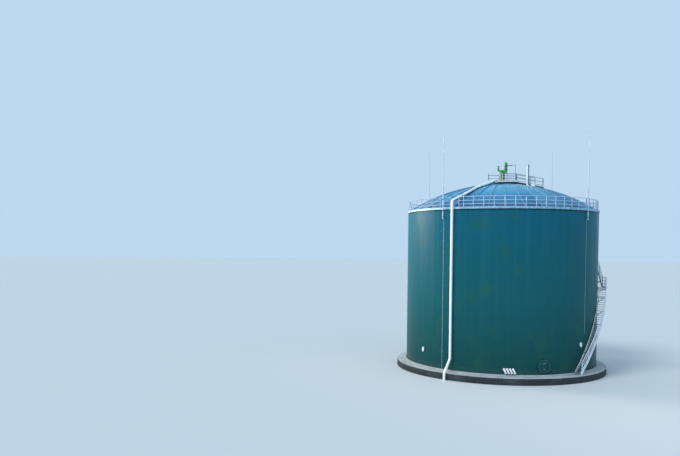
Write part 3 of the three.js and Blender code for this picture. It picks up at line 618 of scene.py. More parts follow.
# Zinc-plated bolts: brighter and smoother than the galvanised steel round them, with dull spots
zinc = mottled_finish(
    "zinc_plated_bolt_steel", {"Metallic": 0.8}, ("#8d969c", "#bcc5ca"), 0.02, (0.3, 0.5), 0.0004,
    stain=("#7a6a55", 0.06, 0.35),
)
# Polyurethane joint sealant in the slab's joints: dark grey, weathered and dull
joint_sealant = mottled_finish(
    "joint_sealant", {"IOR": 1.5}, ("#2a2e31", "#3c4144"), 0.1, (0.8, 0.95), 0.004
)


# Foundation

def foundation():
    """A round slab cast in bays, with sealant in the joints between them."""
    piece = Piece("foundation_slab_cast", "concrete", "foundation_slab")
    core = piece.part(joint_sealant)
    turned(core, band(0.0, SLAB_RADIUS - 0.03, 0.01, SLAB_TOP - 0.02), steps=180)
    bay_count = 24
    half_joint = 0.05
    bays = piece.part(concrete)
    section = band(9.5, SLAB_RADIUS, 0.0, SLAB_TOP)
    swept(bays, section, half_joint, 360 / bay_count - half_joint, 8)
    softened(bays, 0.018, 2)
    repeated(bays, bay_count)
    piece.done()


def kerb():
    """The kerb under the wall, with the tank's floor inside it and a sealed fillet at the wall."""
    piece = Piece("wall_kerb_screed", "kerb_concrete", "wall_kerb_and_floor")
    low = SLAB_TOP + 0.002
    profile = [
        (0.0, low),
        (KERB_RADIUS, low),
        (KERB_RADIUS, WALL_FOOT - 0.02),
        (KERB_RADIUS - 0.008, WALL_FOOT - 0.006),
        (KERB_RADIUS - 0.022, WALL_FOOT),
        (0.0, WALL_FOOT),
    ]
    turned(piece.part(kerb_screed), profile, steps=240)
    profile = [
        (9.99, WALL_FOOT - 0.005),
        (10.055, WALL_FOOT - 0.005),
        (10.03, WALL_FOOT + 0.03),
        (9.99, WALL_FOOT + 0.05),
    ]
    turned(piece.part(joint_sealant), closed(profile), steps=240)
    piece.done()


# Wall

def wall():
    """Ribbed cladding sheets in three lifts, with lap flashings and screws."""
    nodes = [f"wall_segment_{i + 1}" for i in range(6)]
    piece = Piece("wall_cladding_sheets", "wall_cladding", *nodes)
    rib_count = 144
    pitch = 360 / rib_count
    high = 0.003
    foot = WALL_FOOT + 0.001
    sheet = piece.part(cladding, crease=20)
    outline = [(-0.5, 0.0), (-0.2, 0.0), (-0.1, high), (0.1, high), (0.2, 0.0), (0.5, 0.0)]
    points = [sheet.verts.new(at(share * pitch, WALL_RADIUS + out, foot)) for share, out in outline]
    for pair in zip(points, points[1:]):
        sheet.edges.new(pair)
    repeated(sheet, rib_count)
    bmesh.ops.remove_doubles(sheet, verts=sheet.verts, dist=SEAM)
    first = loop = list(sheet.edges)
    for rise, shrink in ((RIM - foot, 1.0), (0.0, WALL_INNER / WALL_RADIUS), (foot - RIM, 1.0)):
        made = bmesh.ops.extrude_edge_only(sheet, edges=loop)["geom"]
        verts = [item for item in made if isinstance(item, bmesh.types.BMVert)]
        loop = [item for item in made if isinstance(item, bmesh.types.BMEdge)]
        bmesh.ops.translate(sheet, verts=verts, vec=(0.0, 0.0, rise))
        bmesh.ops.scale(sheet, verts=verts, vec=(shrink, shrink, 1.0))
    bmesh.ops.bridge_loops(sheet, edges=first + loop)
    flashings = piece.part(cladding)
    inner, outer = 9.97, WALL_RADIUS + high + 0.006
    for lap in (WALL_FOOT + 0.06, WALL_FOOT + 5.28, WALL_FOOT + 10.56):
        profile = [(inner, lap - 0.04), (outer, lap - 0.045), (outer, lap + 0.03)]
        profile.append((inner, lap + 0.045))
        turned(flashings, closed(profile), steps=288)
    screws = piece.part(zinc)
    for i in range(12):
        height = WALL_FOOT + 0.4 + 1.32 * i
        start = at(0.0, WALL_RADIUS + high - 0.002, height)
        head = rod(screws, start, at(0.0, WALL_RADIUS + high + 0.008, height), 0.012, sides=6)
        repeated(screws, rib_count // 2, head)
    piece.done()


def wall_plate(part, azimuth, height, wide, high):
    """A bracket's plate, flat against the cladding's ribs."""
    block(part, (wide, 0.014, high), facing(azimuth, WALL_PLATE, height))


# Roof

def roof():
    """Flat panels between ribs, with four laps in each, and a capped rib over every joint."""
    nodes = [f"roof_sector_{i + 1}" for i in range(6)]
    piece = Piece("roof_panels_and_ribs", "roof_sheet", *nodes)
    steps = 24
    radii = [CROWN_HOLE + (EAVE_INNER - CROWN_HOLE) * i / steps for i in range(steps + 1)]
    upper = [(radius, dome_height(radius)) for radius in radii]
    lower = [(radius, max(height - 0.1, RIM + 0.005)) for radius, height in reversed(upper)]
    panels = piece.part(roof_sheet, crease=7)
    swept(panels, upper + lower, RIB_AZIMUTH, RIB_AZIMUTH + RIB_PITCH, 1)
    repeated(panels, RIB_COUNT)
    bmesh.ops.remove_doubles(panels, verts=panels.verts, dist=SEAM)
    laps = piece.part(roof_sheet, crease=7)
    for radius in (3.4, 5.5, 7.5, 9.2):
        inner, outer = radius - 0.05, radius + 0.05
        section = [
            (inner, dome_height(inner) - 0.02),
            (inner, dome_height(inner) + 0.008),
            (outer, dome_height(outer) + 0.014),
            (outer, dome_height(outer) - 0.02),
        ]
        swept(laps, section, RIB_AZIMUTH + 0.01, RIB_AZIMUTH + RIB_PITCH - 0.01, 1)
    repeated(laps, RIB_COUNT)
    turn = facing(RIB_AZIMUTH, 0.0)
    # Ribs in two tones: the dark lower part partly painted shade, the pale top a painted highlight
    for half, low, high, paint in (
        (0.045, -0.03, 0.052, rib_paint),
        (0.02, 0.04, RIB_HEIGHT, rib_highlight_strip),
    ):
        ribs = piece.part(paint)
        outline = [(radius, dome_height(radius) + high) for radius in radii]
        outline += [(radius, dome_height(radius) + low) for radius in reversed(radii)]
        points = [ribs.verts.new(turn @ Vector((-half, -radius, z))) for radius, z in outline]
        pushed(ribs, ribs.faces.new(points), turn.to_3x3() @ Vector((2 * half, 0.0, 0.0)))
        repeated(ribs, RIB_COUNT)
    piece.done()


def eave():
    """The folded capping over the wall's head, with a drip edge and joint straps."""
    nodes = [f"eave_ring_{i + 1}" for i in range(4)]
    piece = Piece("eave_capping", "galvanised_steel", *nodes)
    drip = 10.02
    profile = [
        (EAVE_INNER, RIM + 0.004),
        (drip, RIM + 0.004),
        (drip, RIM - 0.07),
        (EAVE_OUTER, RIM - 0.07),
        (EAVE_OUTER, RIM + 0.127),
        (EAVE_OUTER - 0.006, RIM + 0.14),
        (EAVE_OUTER - 0.02, EAVE_TOP),
        (EAVE_INNER, EAVE_TOP),
    ]
    turned(piece.part(eave_aluminium), closed(profile), steps=288)
    straps = piece.part(galvanised)
    block(straps, (0.05, 0.012, 0.2), facing(1.0, EAVE_OUTER, RIM + 0.037))
    repeated(straps, 48)
    piece.done()


# Railings

TUBE = 0.03
POST = 0.036
RIM_RAIL_RADIUS = 9.88
RIM_RAILS = (0.41, 0.75, 1.13)
RIM_POST_TOP = 1.16
POST_PITCH = 5.74
POST_PHASE = -3.6
PIPE_GAP = (-29.2, -23.8)
STAIR_GATE = (134.4, 140.2)


def tube_post(part, bolts, foot, high, turn=0.0):
    """A tube post on a bolted plate, with a domed cap."""
    place = Matrix.Translation(foot) @ Matrix.Rotation(turn, 4, "Z")
    top = place @ Vector((0.0, 0.0, high - 0.02))
    rod(part, foot, top, POST, sides=10)
    rod(part, top, place @ Vector((0.0, 0.0, high)), POST, POST * 0.5, sides=10)
    thick = 0.012
    block(part, (0.13, 0.1, thick), place, (0.0, 0.0, thick / 2))
    for side in (-0.05, 0.05):
        under, over = (place @ Vector((side, 0.0, z)) for z in (thick, thick + 0.016))
        rod(bolts, under, over, 0.014, sides=6)


def rim_posts(start, end):
    """Azimuths of the posts of one length of rim railing."""
    clear = POST_PITCH * 0.4
    posts = [start]
    k = math.ceil((start + clear - POST_PHASE) / POST_PITCH)
    while POST_PHASE + k * POST_PITCH < end - clear:
        posts.append(POST_PHASE + k * POST_PITCH)
        k += 1
    return posts + [end]


def rim_railings():
    """The rim's guard rails, open at the gas pipe and at the stair."""
    half = 0.4
    right = (PIPE_GAP[1] + STAIR_GATE[0]) / 2
    left = (STAIR_GATE[1] + PIPE_GAP[0] + 360) / 2
    # The front length in the pale tube, the other lengths greyer as painted shade
    for side, start, end, finish in (
        ("front", PIPE_GAP[1], right - half, rail_tube),
        ("right", right + half, STAIR_GATE[0], dull_tube),
        ("back", STAIR_GATE[1], left - half, dull_tube),
        ("left", left + half, PIPE_GAP[0] + 360, dull_tube),
    ):
        name = f"rim_railing_{side}"
        piece = Piece(f"{name}_tubes", "galvanised_steel", name)
        tubes = piece.part(finish)
        bolts = piece.part(zinc)
        for azimuth in rim_posts(start, end):
            foot = at(azimuth, RIM_RAIL_RADIUS, EAVE_TOP)
            tube_post(tubes, bolts, foot, RIM + RIM_POST_TOP - EAVE_TOP, math.radians(azimuth))
        for height in RIM_RAILS:
            round_rail(tubes, start, end, RIM_RAIL_RADIUS, RIM + height, rise=0.0, pitch=1.9)
        piece.done()


# Crown

CAP_RADIUS = 1.56
CAP_TOP = RIM + 3.23
DECK_TOP = RIM + 3.33
DECK_LEFT = -1.43
DECK_RIGHT = 1.59
DECK_DEEP = 0.9
WALKWAY_HALF = 0.5
WALKWAY_OVER = 0.25
WALKWAY_BEND = 3.0
WALKWAY_END = 4.4
CROWN_RAILS = (0.18, 0.54, 0.9)


def walkway_height(x):
    """The walkway's top: level on the deck, then down to its bend and on to its end."""
    places = [DECK_RIGHT, WALKWAY_BEND, WALKWAY_END]
    tops = [DECK_TOP] + [dome_height(place) + WALKWAY_OVER for place in places[1:]]
    i = 0 if x < WALKWAY_BEND else 1
    share = max(0.0, (x - places[i]) / (places[i + 1] - places[i]))
    return tops[i] + (tops[i + 1] - tops[i]) * share


def walkway_lengths(half, lift):
    """The ends of the walkway's two straight lengths at a lift over its top: on both sides, half
    its width out, or along its middle where half is 0."""
    for x0, x1 in ((DECK_RIGHT, WALKWAY_BEND), (WALKWAY_BEND, WALKWAY_END)):
        for y in (-half, half) if half else (0.0,):
            yield (x0, y, walkway_height(x0) + lift), (x1, y, walkway_height(x1) + lift)


def crown_cap():
    """The steel cap that closes the dome, with a bolted flange and a rolled edge."""
    piece = Piece("crown_cap_flanged", "galvanised_steel", "crown_cap")
    neck = 1.39
    seat = dome_height(CROWN_HOLE) + RIB_HEIGHT
    profile = [
        (0.0, RIM + 2.89),
        (neck, RIM + 2.89),
        (neck, seat),
        (CAP_RADIUS, seat),
        (CAP_RADIUS, seat + 0.04),
        (1.47, seat + 0.045),
        (1.45, CAP_TOP - 0.05),
        (1.52, CAP_TOP - 0.04),
        (1.52, CAP_TOP),
        (0.0, CAP_TOP),
    ]
    # The cap's dark slate paint is painted shade under the deck
    turned(piece.part(slate_paint), profile, steps=72)
    bolt_circle(piece.part(zinc), shift(0.0, 0.0, seat + 0.04), 1.52, 36, 0.018, 0.02)
    piece.done()


def grating(part, start, end, wide):
    """Bearing bars from start to end, held by cross bars."""
    start, end = Vector(start), Vector(end)
    deep = 0.03
    side = Vector(UPRIGHT).cross(end - start).normalized()
    count = max(3, round(wide / 0.055))
    for i in range(count + 1):
        aside = side * (wide * (i / count - 0.5))
        bar(part, start + aside, end + aside, 0.008, deep)
    crossings = max(2, round((end - start).length / 0.3))
    for i in range(crossings + 1):
        middle = start.lerp(end, i / crossings)
        reach = side * wide / 2
        bar(part, middle - reach, middle + reach, 0.014, deep * 0.7, lift=0.002)


def leg(part, top, radius, plate, sides):
    """A round leg from the roof skin to its top, on a square plate."""
    foot = on_dome(top[0], top[1], 0.004)
    rod(part, foot, top, radius, sides=sides)
    block(part, (plate, plate, plate / 10), Matrix.Translation(foot))


def crown_deck():
    """The deck on the crown, and the sloping walkway to the right, both of grating in channels."""
    piece = Piece("crown_deck_grating", "galvanised_steel", "crown_deck")
    grid = piece.part(galvanised)
    level = DECK_TOP - 0.02
    grating(grid, (DECK_LEFT, 0.0, level), (DECK_RIGHT, 0.0, level), 2 * DECK_DEEP - 0.06)
    for start, end in walkway_lengths(0.0, -0.02):
        grating(grid, start, end, 2 * WALKWAY_HALF - 0.08)
    edges = piece.part(slate_paint)
    low = DECK_TOP - 0.05
    for y in (-DECK_DEEP + 0.02, DECK_DEEP - 0.02):
        bar(edges, (DECK_LEFT, y, low), (DECK_RIGHT, y, low), 0.04, 0.1)
    for x in (DECK_LEFT + 0.02, DECK_RIGHT - 0.02):
        bar(edges, (x, -DECK_DEEP, low), (x, DECK_DEEP, low), 0.04, 0.1)
    for x in (-0.75, 0.0, 0.75):
        bar(edges, (x, -DECK_DEEP, low - 0.01), (x, DECK_DEEP, low - 0.01), 0.05, 0.07)
    for start, end in walkway_lengths(WALKWAY_HALF - 0.02, -0.04):
        bar(edges, start, end, 0.04, 0.1)
    for x in (WALKWAY_BEND, WALKWAY_END - 0.06):
        for y in (-WALKWAY_HALF + 0.06, WALKWAY_HALF - 0.06):
            leg(edges, (x, y, walkway_height(x) - 0.05), 0.035, 0.16, 10)
    softened(edges, 0.004)
    # Dark beams along the walkway's sides: dark parts put as painted shade under it
    beams = piece.part(slate_paint)
    for start, end in walkway_lengths(WALKWAY_HALF - 0.04, -0.14):
        bar(beams, start, end, 0.03, 0.1)
    boards = piece.part(white_paint)
    toe = DECK_TOP + 0.03
    thin = 0.012
    for y in (-DECK_DEEP + thin / 2, DECK_DEEP - thin / 2):
        bar(boards, (DECK_LEFT, y, toe), (DECK_RIGHT, y, toe), thin, 0.18)
    x = DECK_LEFT + thin / 2
    bar(boards, (x, -DECK_DEEP, toe), (x, DECK_DEEP, toe), thin, 0.18)
    for start, end in walkway_lengths(WALKWAY_HALF - thin / 2, 0.025):
        bar(boards, start, end, thin, 0.15)
    x = WALKWAY_BEND + 0.28
    block(boards, (0.42, 0.03, 0.3), shift(x, -WALKWAY_HALF - 0.02, walkway_height(x)))
    piece.done()


def tube_railing(name, feet):
    """A railing of bent tubes through posts at the given feet."""
    piece = Piece(f"{name}_tubes", "galvanised_steel", name)
    tubes = piece.part(shaded_tube)
    bolts = piece.part(zinc)
    for foot in feet:
        tube_post(tubes, bolts, foot, CROWN_RAILS[-1] + 0.01)
    for height in CROWN_RAILS:
        lifted = [(x, y, z + height - 0.025) for x, y, z in feet]
        pipe(tubes, lifted, TUBE, bend=0.06, sides=8, bend_steps=4)
    piece.done()


def crown_railings():
    """Guard rails round the deck and both sides of the walkway."""
    edge = DECK_DEEP - 0.06
    begin = DECK_LEFT + 0.06
    end = DECK_RIGHT - 0.06
    side = WALKWAY_HALF - 0.06
    start = DECK_RIGHT + 0.03
    bend = WALKWAY_BEND
    gate = 3.54
    far = WALKWAY_END - 0.06
    deck_back = [(begin, -edge), (begin, 0.0), (begin, edge)]
    deck_back += [(-0.2, edge), (end, edge), (end, side)]
    for name, places in (
        ("crown_railing_front", [(-0.2, -edge), (0.6, -edge), (end, -edge), (end, -side)]),
        ("crown_railing_back", deck_back),
        ("crown_walkway_railing_front", [(start, -side), (bend, -side), (far, -side), (far, side)]),
        ("crown_walkway_railing_back", [(start, side), (bend, side), (gate, side)]),
    ):
        tube_railing(name, [(x, y, walkway_height(x)) for x, y in places])


# Roof walkway from the stair's gate to the crown walkway

PATH_FOOT = at(137.3, 9.6)
PATH_HEAD = Vector((3.94, 0.35, 0.0))
PATH_OVER = 0.265
PATH_HALF = 0.4


def path_point(share, aside=0.0):
    """A point of the roof walkway's top, on one of its two straight lengths."""
    low = min(math.floor(share * 2), 1) / 2
    across = (PATH_HEAD - PATH_FOOT).normalized()
    side = Vector((-across.y, across.x, 0.0)) * aside
    centres = (PATH_FOOT.lerp(PATH_HEAD, place) for place in (low, low + 0.5))
    start, end = (on_dome(centre.x, centre.y, PATH_OVER) + side for centre in centres)
    return start.lerp(end, (share - low) * 2)


def roof_walkway():
    """The way over the dome from the stair to the crown, on short legs."""
    piece = Piece("roof_walkway_grating", "galvanised_steel", "roof_walkway")
    grid = piece.part(galvanised)
    edges = piece.part(galvanised)
    drop = Vector((0.0, 0.0, -0.02))
    deep = Vector((0.0, 0.0, -0.045))
    for first, last in ((0.0, 0.5), (0.5, 0.95)):
        grating(grid, path_point(first) + drop, path_point(last) + drop, 2 * PATH_HALF - 0.06)
        for side in (-PATH_HALF + 0.02, PATH_HALF - 0.02):
            bar(edges, path_point(first, side) + deep, path_point(last, side) + deep, 0.035, 0.09)
    for share in (0.012, 0.17, 0.33, 0.5, 0.66, 0.82, 0.945):
        for side in (-PATH_HALF + 0.06, PATH_HALF - 0.06):
            leg(edges, path_point(share, side) + deep, 0.03, 0.14, 8)
    piece.done()
    out = PATH_HALF - 0.06
    for name, aside in (("left", -out), ("right", out)):
        feet = [path_point(share, aside) for share in (0.02, 0.2, 0.37)]
        tube_railing(f"roof_walkway_railing_{name}", feet)


# Relief valve

VALVE_BODY = RIM + 4.545
VALVE_HEAD = 0.46
VALVE_ELBOW = -0.34
SENSE_LEVEL = VALVE_BODY + 0.575


def flange(part, bolts, place, radius, thick=0.03, bolt_count=8, rim=0.035, head=0.018):
    """A round flange with its bolts, its lower face on the place's XY plane."""
    bevel = 0.004
    profile = [(0.0, 0.0), (radius - bevel, 0.0), (radius, bevel), (radius, thick - bevel)]
    profile += [(radius - bevel, thick), (0.0, thick)]
    turned(part, profile, place, steps=24)
    if bolt_count:
        bolt_circle(bolts, place @ shift(0.0, 0.0, thick), radius - rim, bolt_count, head)


def relief_valve():
    """Two standing pipes, a cross body, a vent elbow to the left and a tall weighted head."""
    piece = Piece("relief_valve_cast", "green_paint", "relief_valve")
    bolts = piece.part(zinc)
    gaskets = piece.part(rubber)
    body = VALVE_BODY
    # The left standing pipe pale as painted light, the right one dark slate as painted shade
    for x, radius, finish in ((-0.05, 0.135, lit_enamel), (0.26, 0.085, slate_paint)):
        stand = piece.part(finish)
        flange(stand, bolts, shift(x, 0.0, DECK_TOP), radius + 0.05, 0.035)
        rod(stand, (x, 0.0, DECK_TOP), (x, 0.0, body - 0.1), radius, sides=24)
        joint = shift(x, 0.0, body - 0.28)
        flange(stand, bolts, joint, radius + 0.022, 0.022, 8, 0.012, 0.008)
        turned(gaskets, band(0.0, radius + 0.02, -0.006, 0.0), joint, 24)
    middle = piece.part(worn_enamel)
    profile = [
        (0.0, 0.0), (0.11, 0.0), (0.14, 0.03), (0.15, 0.1), (0.15, 0.71), (0.14, 0.78),
        (0.11, 0.82), (0.0, 0.82),
    ]
    turned(middle, profile, shift(-0.24, 0.0, body) @ quarter("Y"), 28)
    head = shift(VALVE_HEAD, 0.0, body)
    profile = [(0.0, -0.28), (0.1, -0.28), (0.135, -0.25), (0.147, -0.21), (0.147, 0.1), (0.0, 0.1)]
    turned(middle, profile, head, 28)
    cast = piece.part(valve_enamel)
    corners = [(-0.02, body - 0.01), (VALVE_ELBOW, body + 0.06), (VALVE_ELBOW, RIM + 5.05)]
    pipe(cast, [(x, 0.0, z) for x, z in corners], 0.1, bend=0.2, sides=20, bend_steps=8)
    profile = [
        (0.0, 0.0), (0.1, 0.0), (0.14, 0.01), (0.145, 0.04), (0.14, 0.075), (0.11, 0.08),
        (0.105, 0.03), (0.0, 0.03),
    ]
    turned(cast, profile, shift(VALVE_ELBOW, 0.0, RIM + 5.02), 24)
    profile = [
        (0.0, -0.04), (0.145, -0.04), (0.152, 0.0), (0.168, 0.05), (0.178, 0.11), (0.18, 0.16),
        (0.176, 0.22), (0.163, 0.275), (0.142, 0.32), (0.105, 0.36), (0.146, 0.362),
        (0.15, 0.37), (0.15, 0.4), (0.146, 0.408), (0.115, 0.41), (0.145, 0.45), (0.165, 0.49),
        (0.176, 0.53), (0.18, 0.575), (0.18, 0.64), (0.175, 0.7), (0.165, 0.765), (0.15, 0.82),
        (0.126, 0.88), (0.1, 0.93), (0.09, 0.955), (0.075, 0.975), (0.0, 0.985),
    ]
    turned(cast, profile, head)
    bolt_circle(bolts, head @ shift(0.0, 0.0, 0.408), 0.132, 10, 0.011, 0.014)
    x = 0.1
    for y in (-0.2, 0.2):
        rod(cast, (x, 0.0, body), (x, y, body), 0.03, sides=10)
        wheel = shift(x, y, body) @ quarter("X")
        turned(cast, closed(band(0.07, 0.09, -0.01, 0.01)), wheel, 20)
        for turn in (0, 60, 120):
            spoke = wheel @ Matrix.Rotation(math.radians(turn), 4, "Z")
            near, far = (spoke @ Vector((end, 0.0, 0.0)) for end in (-0.08, 0.08))
            rod(cast, near, far, 0.007, sides=6)
    piece.done()


def sense_line():
    """The thin line from the valve's head over to the deck."""
    piece = Piece("valve_sense_tube", "galvanised_steel", "valve_sense_line")
    tube = piece.part(shaded_tube)
    bolts = piece.part(zinc)
    x = DECK_RIGHT - 0.12
    start = Vector((VALVE_HEAD + 0.176, 0.0, SENSE_LEVEL))
    corner = Vector((x, 0.0, SENSE_LEVEL + 0.11))
    pipe(tube, [start, corner, (x, 0.0, DECK_TOP)], 0.03, bend=0.09)
    flange(tube, bolts, shift(x, 0.0, DECK_TOP), 0.08, 0.02, 4, 0.022, 0.01)
    for height in (3.9, 4.6):
        turned(tube, band(0.0, 0.042, 0.0, 0.05), shift(x, 0.0, RIM + height), 12)
    union = piece.part(slate_paint)
    for share, length, radius in ((0.02, 0.1, 0.046), (0.2, 0.34, 0.036)):
        near = start.lerp(corner, share)
        rod(union, near, near + (corner - start).normalized() * length, radius)
    piece.done()


def vent_pipe():
    """The white vent stack by the walkway, with a dark mast strapped to it under a round cap: the
    mast and cap are painted shade on the stack's right side.
    """
    piece = Piece("vent_stack", "white_paint", "vent_pipe")
    x, y = 2.74, -WALKWAY_HALF - 0.18
    stack, mast = x - 0.04, x + 0.088
    base = walkway_height(x)
    skin = dome_height(math.hypot(x, y))
    shaft = piece.part(white_paint)
    rod(shaft, (stack, y, skin - 0.05), (stack, y, base + 1.84), 0.088, sides=24)
    boot = [(0.0, -0.05), (0.2, -0.05), (0.2, 0.03), (0.15, 0.13), (0.0, 0.13)]
    turned(shaft, boot, shift(x, y, skin), 24)
    flange(shaft, piece.part(zinc), shift(stack, y, base + 0.3), 0.1, 0.02, 6, 0.01, 0.006)
    cap = [(0.0, 1.83), (0.096, 1.83), (0.096, 1.86), (0.0, 1.89)]
    turned(shaft, cap, shift(stack, y, base), 24)
    # Dark mast and ball cap: painted shade of the stack's right side
    dark = piece.part(slate_paint)
    rod(dark, (mast, y, skin), (mast, y, base + 1.95), 0.042, sides=16)
    ball = 0.077
    turns = [math.radians(turn) for turn in range(0, 181, 15)]
    profile = [(ball * abs(math.sin(turn)), 1.982 - ball * math.cos(turn)) for turn in turns]
    turned(dark, profile, shift(mast, y, base), 20)
    for height in (0.2, 0.75, 1.3, 1.75):
        block(dark, (0.14, 0.03, 0.035), shift(x + 0.03, y, base + height))
    piece.done()


# Gas pipe

PIPE_RADIUS = 0.125
PIPE_AZIMUTH = -26.5
PIPE_OVER = PIPE_RADIUS + RIB_HEIGHT + 0.015
PIPE_BREAK = RIM - 0.6
RISER_RADIUS = 10.35
PIPE_FOOT_RADIUS = 11.4
CROWN_END_AZIMUTH = -19.3
CROWN_END_RADIUS = 1.27
CROWN_END_HEIGHT = RIM + 3.555
ROOF_RUN = [
    (CROWN_END_RADIUS, CROWN_END_HEIGHT),
    (3.0, dome_height(3.0) + PIPE_OVER),
    (5.5, dome_height(5.5) + PIPE_OVER),
    (8.0, dome_height(8.0) + 0.34),
    (RISER_RADIUS, RIM + 0.78),
]


def on_pipe(radius, height):
    """A point in the gas pipe's upright plane."""
    return at(PIPE_AZIMUTH, radius, height)


def run_height(radius):
    """The height of the roof run's middle at a radius."""
    for (inner, start), (outer, end) in zip(ROOF_RUN, ROOF_RUN[1:]):
        if radius <= outer:
            return start + (end - start) * (radius - inner) / (outer - inner)


def collar(part, bolts, start, end, radius, share=0.0):
    """A pair of bolted flanges round a pipe, at a share of the way from start to end."""
    thick = 0.02
    middle = start.lerp(end, share)
    place = along(middle, middle + end - start)
    flange(part, bolts, place @ shift(0.0, 0.0, 0.004), radius, thick, 8, 0.03, 0.015)
    flange(part, bolts, place @ shift(0.0, 0.0, -0.004 - thick), radius, thick, 0)


def pipe_hoop(part, place, outer):
    """A strap round the gas pipe, about the place's Z, its inner side just under the paint."""
    inner, half = PIPE_RADIUS - 0.002, 0.03
    turned(part, closed(band(inner, outer, -half, half)), place, 28)


def gas_pipe_roof():
    """The white gas pipe over the roof, on saddles, with a dark carrier under it as painted shadow.
    """
    piece = Piece("gas_pipe_roof_run", "white_paint", "gas_pipe_roof")
    line = piece.part(white_paint)
    bolts = piece.part(zinc)
    start = at(CROWN_END_AZIMUTH, CROWN_END_RADIUS, CAP_TOP)
    top = at(CROWN_END_AZIMUTH, CROWN_END_RADIUS, CROWN_END_HEIGHT)
    way = [on_pipe(*corner) for corner in ROOF_RUN[1:]]
    points = [start, top, *way, on_pipe(RISER_RADIUS, PIPE_BREAK)]
    pipe(line, points, PIPE_RADIUS, bend=(0.22, 0.6, 0.6, 0.6, 0.3), sides=28, bend_steps=8)
    flange(line, bolts, Matrix.Translation(start), 0.19)
    flange(line, bolts, Matrix.Translation(points[-1]), 0.175, 0.03, 10, 0.025, 0.014)
    for first, share in ((1, 0.35), (2, 0.7), (4, 0.45)):
        collar(line, bolts, points[first], points[first + 1], 0.16, share)
    # The dark carrier under the run is a painted shadow of the pipe
    carrier = piece.part(slate_paint)
    drop = Vector((0.0, 0.0, -PIPE_RADIUS - 0.035))
    ends = [(near, near.lerp(far, 0.94)) for near, far in zip(way, way[1:])]
    for near, far in [*ends, (top.lerp(way[0], 0.25), way[0])]:
        bar(carrier, near + drop, far + drop, 0.1, 0.07)
    saddles = piece.part(slate_paint)
    for radius in (2.6, 4.6, 6.6, 8.6):
        skin = dome_height(radius) + 0.004
        middle = run_height(radius)
        place = facing(PIPE_AZIMUTH, radius)
        block(saddles, (0.36, 0.14, 0.02), place, (0.0, 0.0, skin))
        for x in (-0.1, 0.1):
            block(saddles, (0.02, 0.08, middle - skin), place, (x, 0.0, (skin + middle) / 2))
        pipe_hoop(saddles, outward(PIPE_AZIMUTH, radius, middle), 0.135)
    piece.done()


def gas_pipe_riser():
    """The white gas pipe down the wall and out over the slab, in wall brackets."""
    piece = Piece("gas_pipe_riser_run", "white_paint", "gas_pipe_riser")
    line = piece.part(white_paint)
    bolts = piece.part(zinc)
    points = [
        on_pipe(RISER_RADIUS, PIPE_BREAK),
        on_pipe(RISER_RADIUS, WALL_FOOT + 1.15),
        on_pipe(PIPE_FOOT_RADIUS, WALL_FOOT - 0.15),
        on_pipe(PIPE_FOOT_RADIUS, 0.02),
    ]
    pipe(line, points, PIPE_RADIUS, bend=0.3, sides=28, bend_steps=8)
    over = Matrix.Translation(on_pipe(RISER_RADIUS, PIPE_BREAK - 0.033))
    flange(line, bolts, over, 0.175, 0.03, 0)
    foot = Matrix.Translation(on_pipe(PIPE_FOOT_RADIUS, 0.0))
    flange(line, bolts, foot, 0.19, 0.035, 10)
    for height in (WALL_FOOT + 4.1, WALL_FOOT + 9.9, WALL_FOOT + 13.2):
        low = on_pipe(RISER_RADIUS, height)
        collar(line, bolts, low, on_pipe(RISER_RADIUS, height + 1.0), 0.155)
    brackets = piece.part(cladding)
    hoops = piece.part(white_paint)
    for height in (2.6, 5.6, 8.6, 11.6, 14.6):
        level = WALL_FOOT + height
        wall_plate(brackets, PIPE_AZIMUTH, level, 0.2, 0.3)
        arm = facing(PIPE_AZIMUTH, 10.18, level)
        block(brackets, (0.08, 0.34, 0.012), arm, (0.0, 0.0, 0.05))
        block(brackets, (0.012, 0.34, 0.1), arm)
        pipe_hoop(hoops, facing(PIPE_AZIMUTH, RISER_RADIUS, level), 0.136)
    piece.done()


# Lightning rods

ROD_RADIUS = 10.19
ROD_FOOT = RIM - 1.0
ROD_TIP = RIM + 7.9


def lightning_rod(name, azimuth, down):
    """A stepped rod on two wall arms, with its strip conductor clipped to the wall."""
    piece = Piece(f"{name}_stepped", "galvanised_steel", name)
    mast = piece.part(rail_tube)
    for low, high, wide, narrow in (
        (0.0, 3.2, 0.05, 0.05),
        (3.2, 6.2, 0.038, 0.038),
        (6.2, 8.3, 0.026, 0.022),
    ):
        start = at(azimuth, ROD_RADIUS, ROD_FOOT + low)
        rod(mast, start, at(azimuth, ROD_RADIUS, ROD_FOOT + high + 0.02), wide, narrow)
        sleeve = wide + 0.012
        profile = [(0.0, 0.0), (sleeve, 0.0), (sleeve, 0.09), (0.0, 0.11)]
        turned(mast, profile, Matrix.Translation(start), 12)
    needle = at(azimuth, ROD_RADIUS, ROD_FOOT + 8.3)
    rod(mast, needle, at(azimuth, ROD_RADIUS, ROD_TIP), 0.016, 0.004, sides=8)
    arms = piece.part(cladding)
    for height in (RIM - 0.2, RIM - 0.8):
        wall_plate(arms, azimuth, height, 0.16, 0.16)
        block(arms, (0.05, 0.2, 0.05), facing(azimuth, 10.1, height))
        ring = closed(band(0.048, 0.064, -0.03, 0.03))
        turned(arms, ring, facing(azimuth, ROD_RADIUS, height), 14)
    strip = piece.part(dull_tube)
    block(strip, (0.04, 0.008, ROD_FOOT - down), facing(azimuth, 10.036, (down + ROD_FOOT) / 2))
    block(strip, (0.04, 0.16, 0.012), facing(azimuth, 10.11, ROD_FOOT + 0.02))
    height = down + 0.6
    while height < ROD_FOOT:
        block(strip, (0.09, 0.03, 0.05), facing(azimuth, 10.03, height))
        height += 1.1
    piece.done()


# Wall fittings

PORT_BETWEEN = 0.23


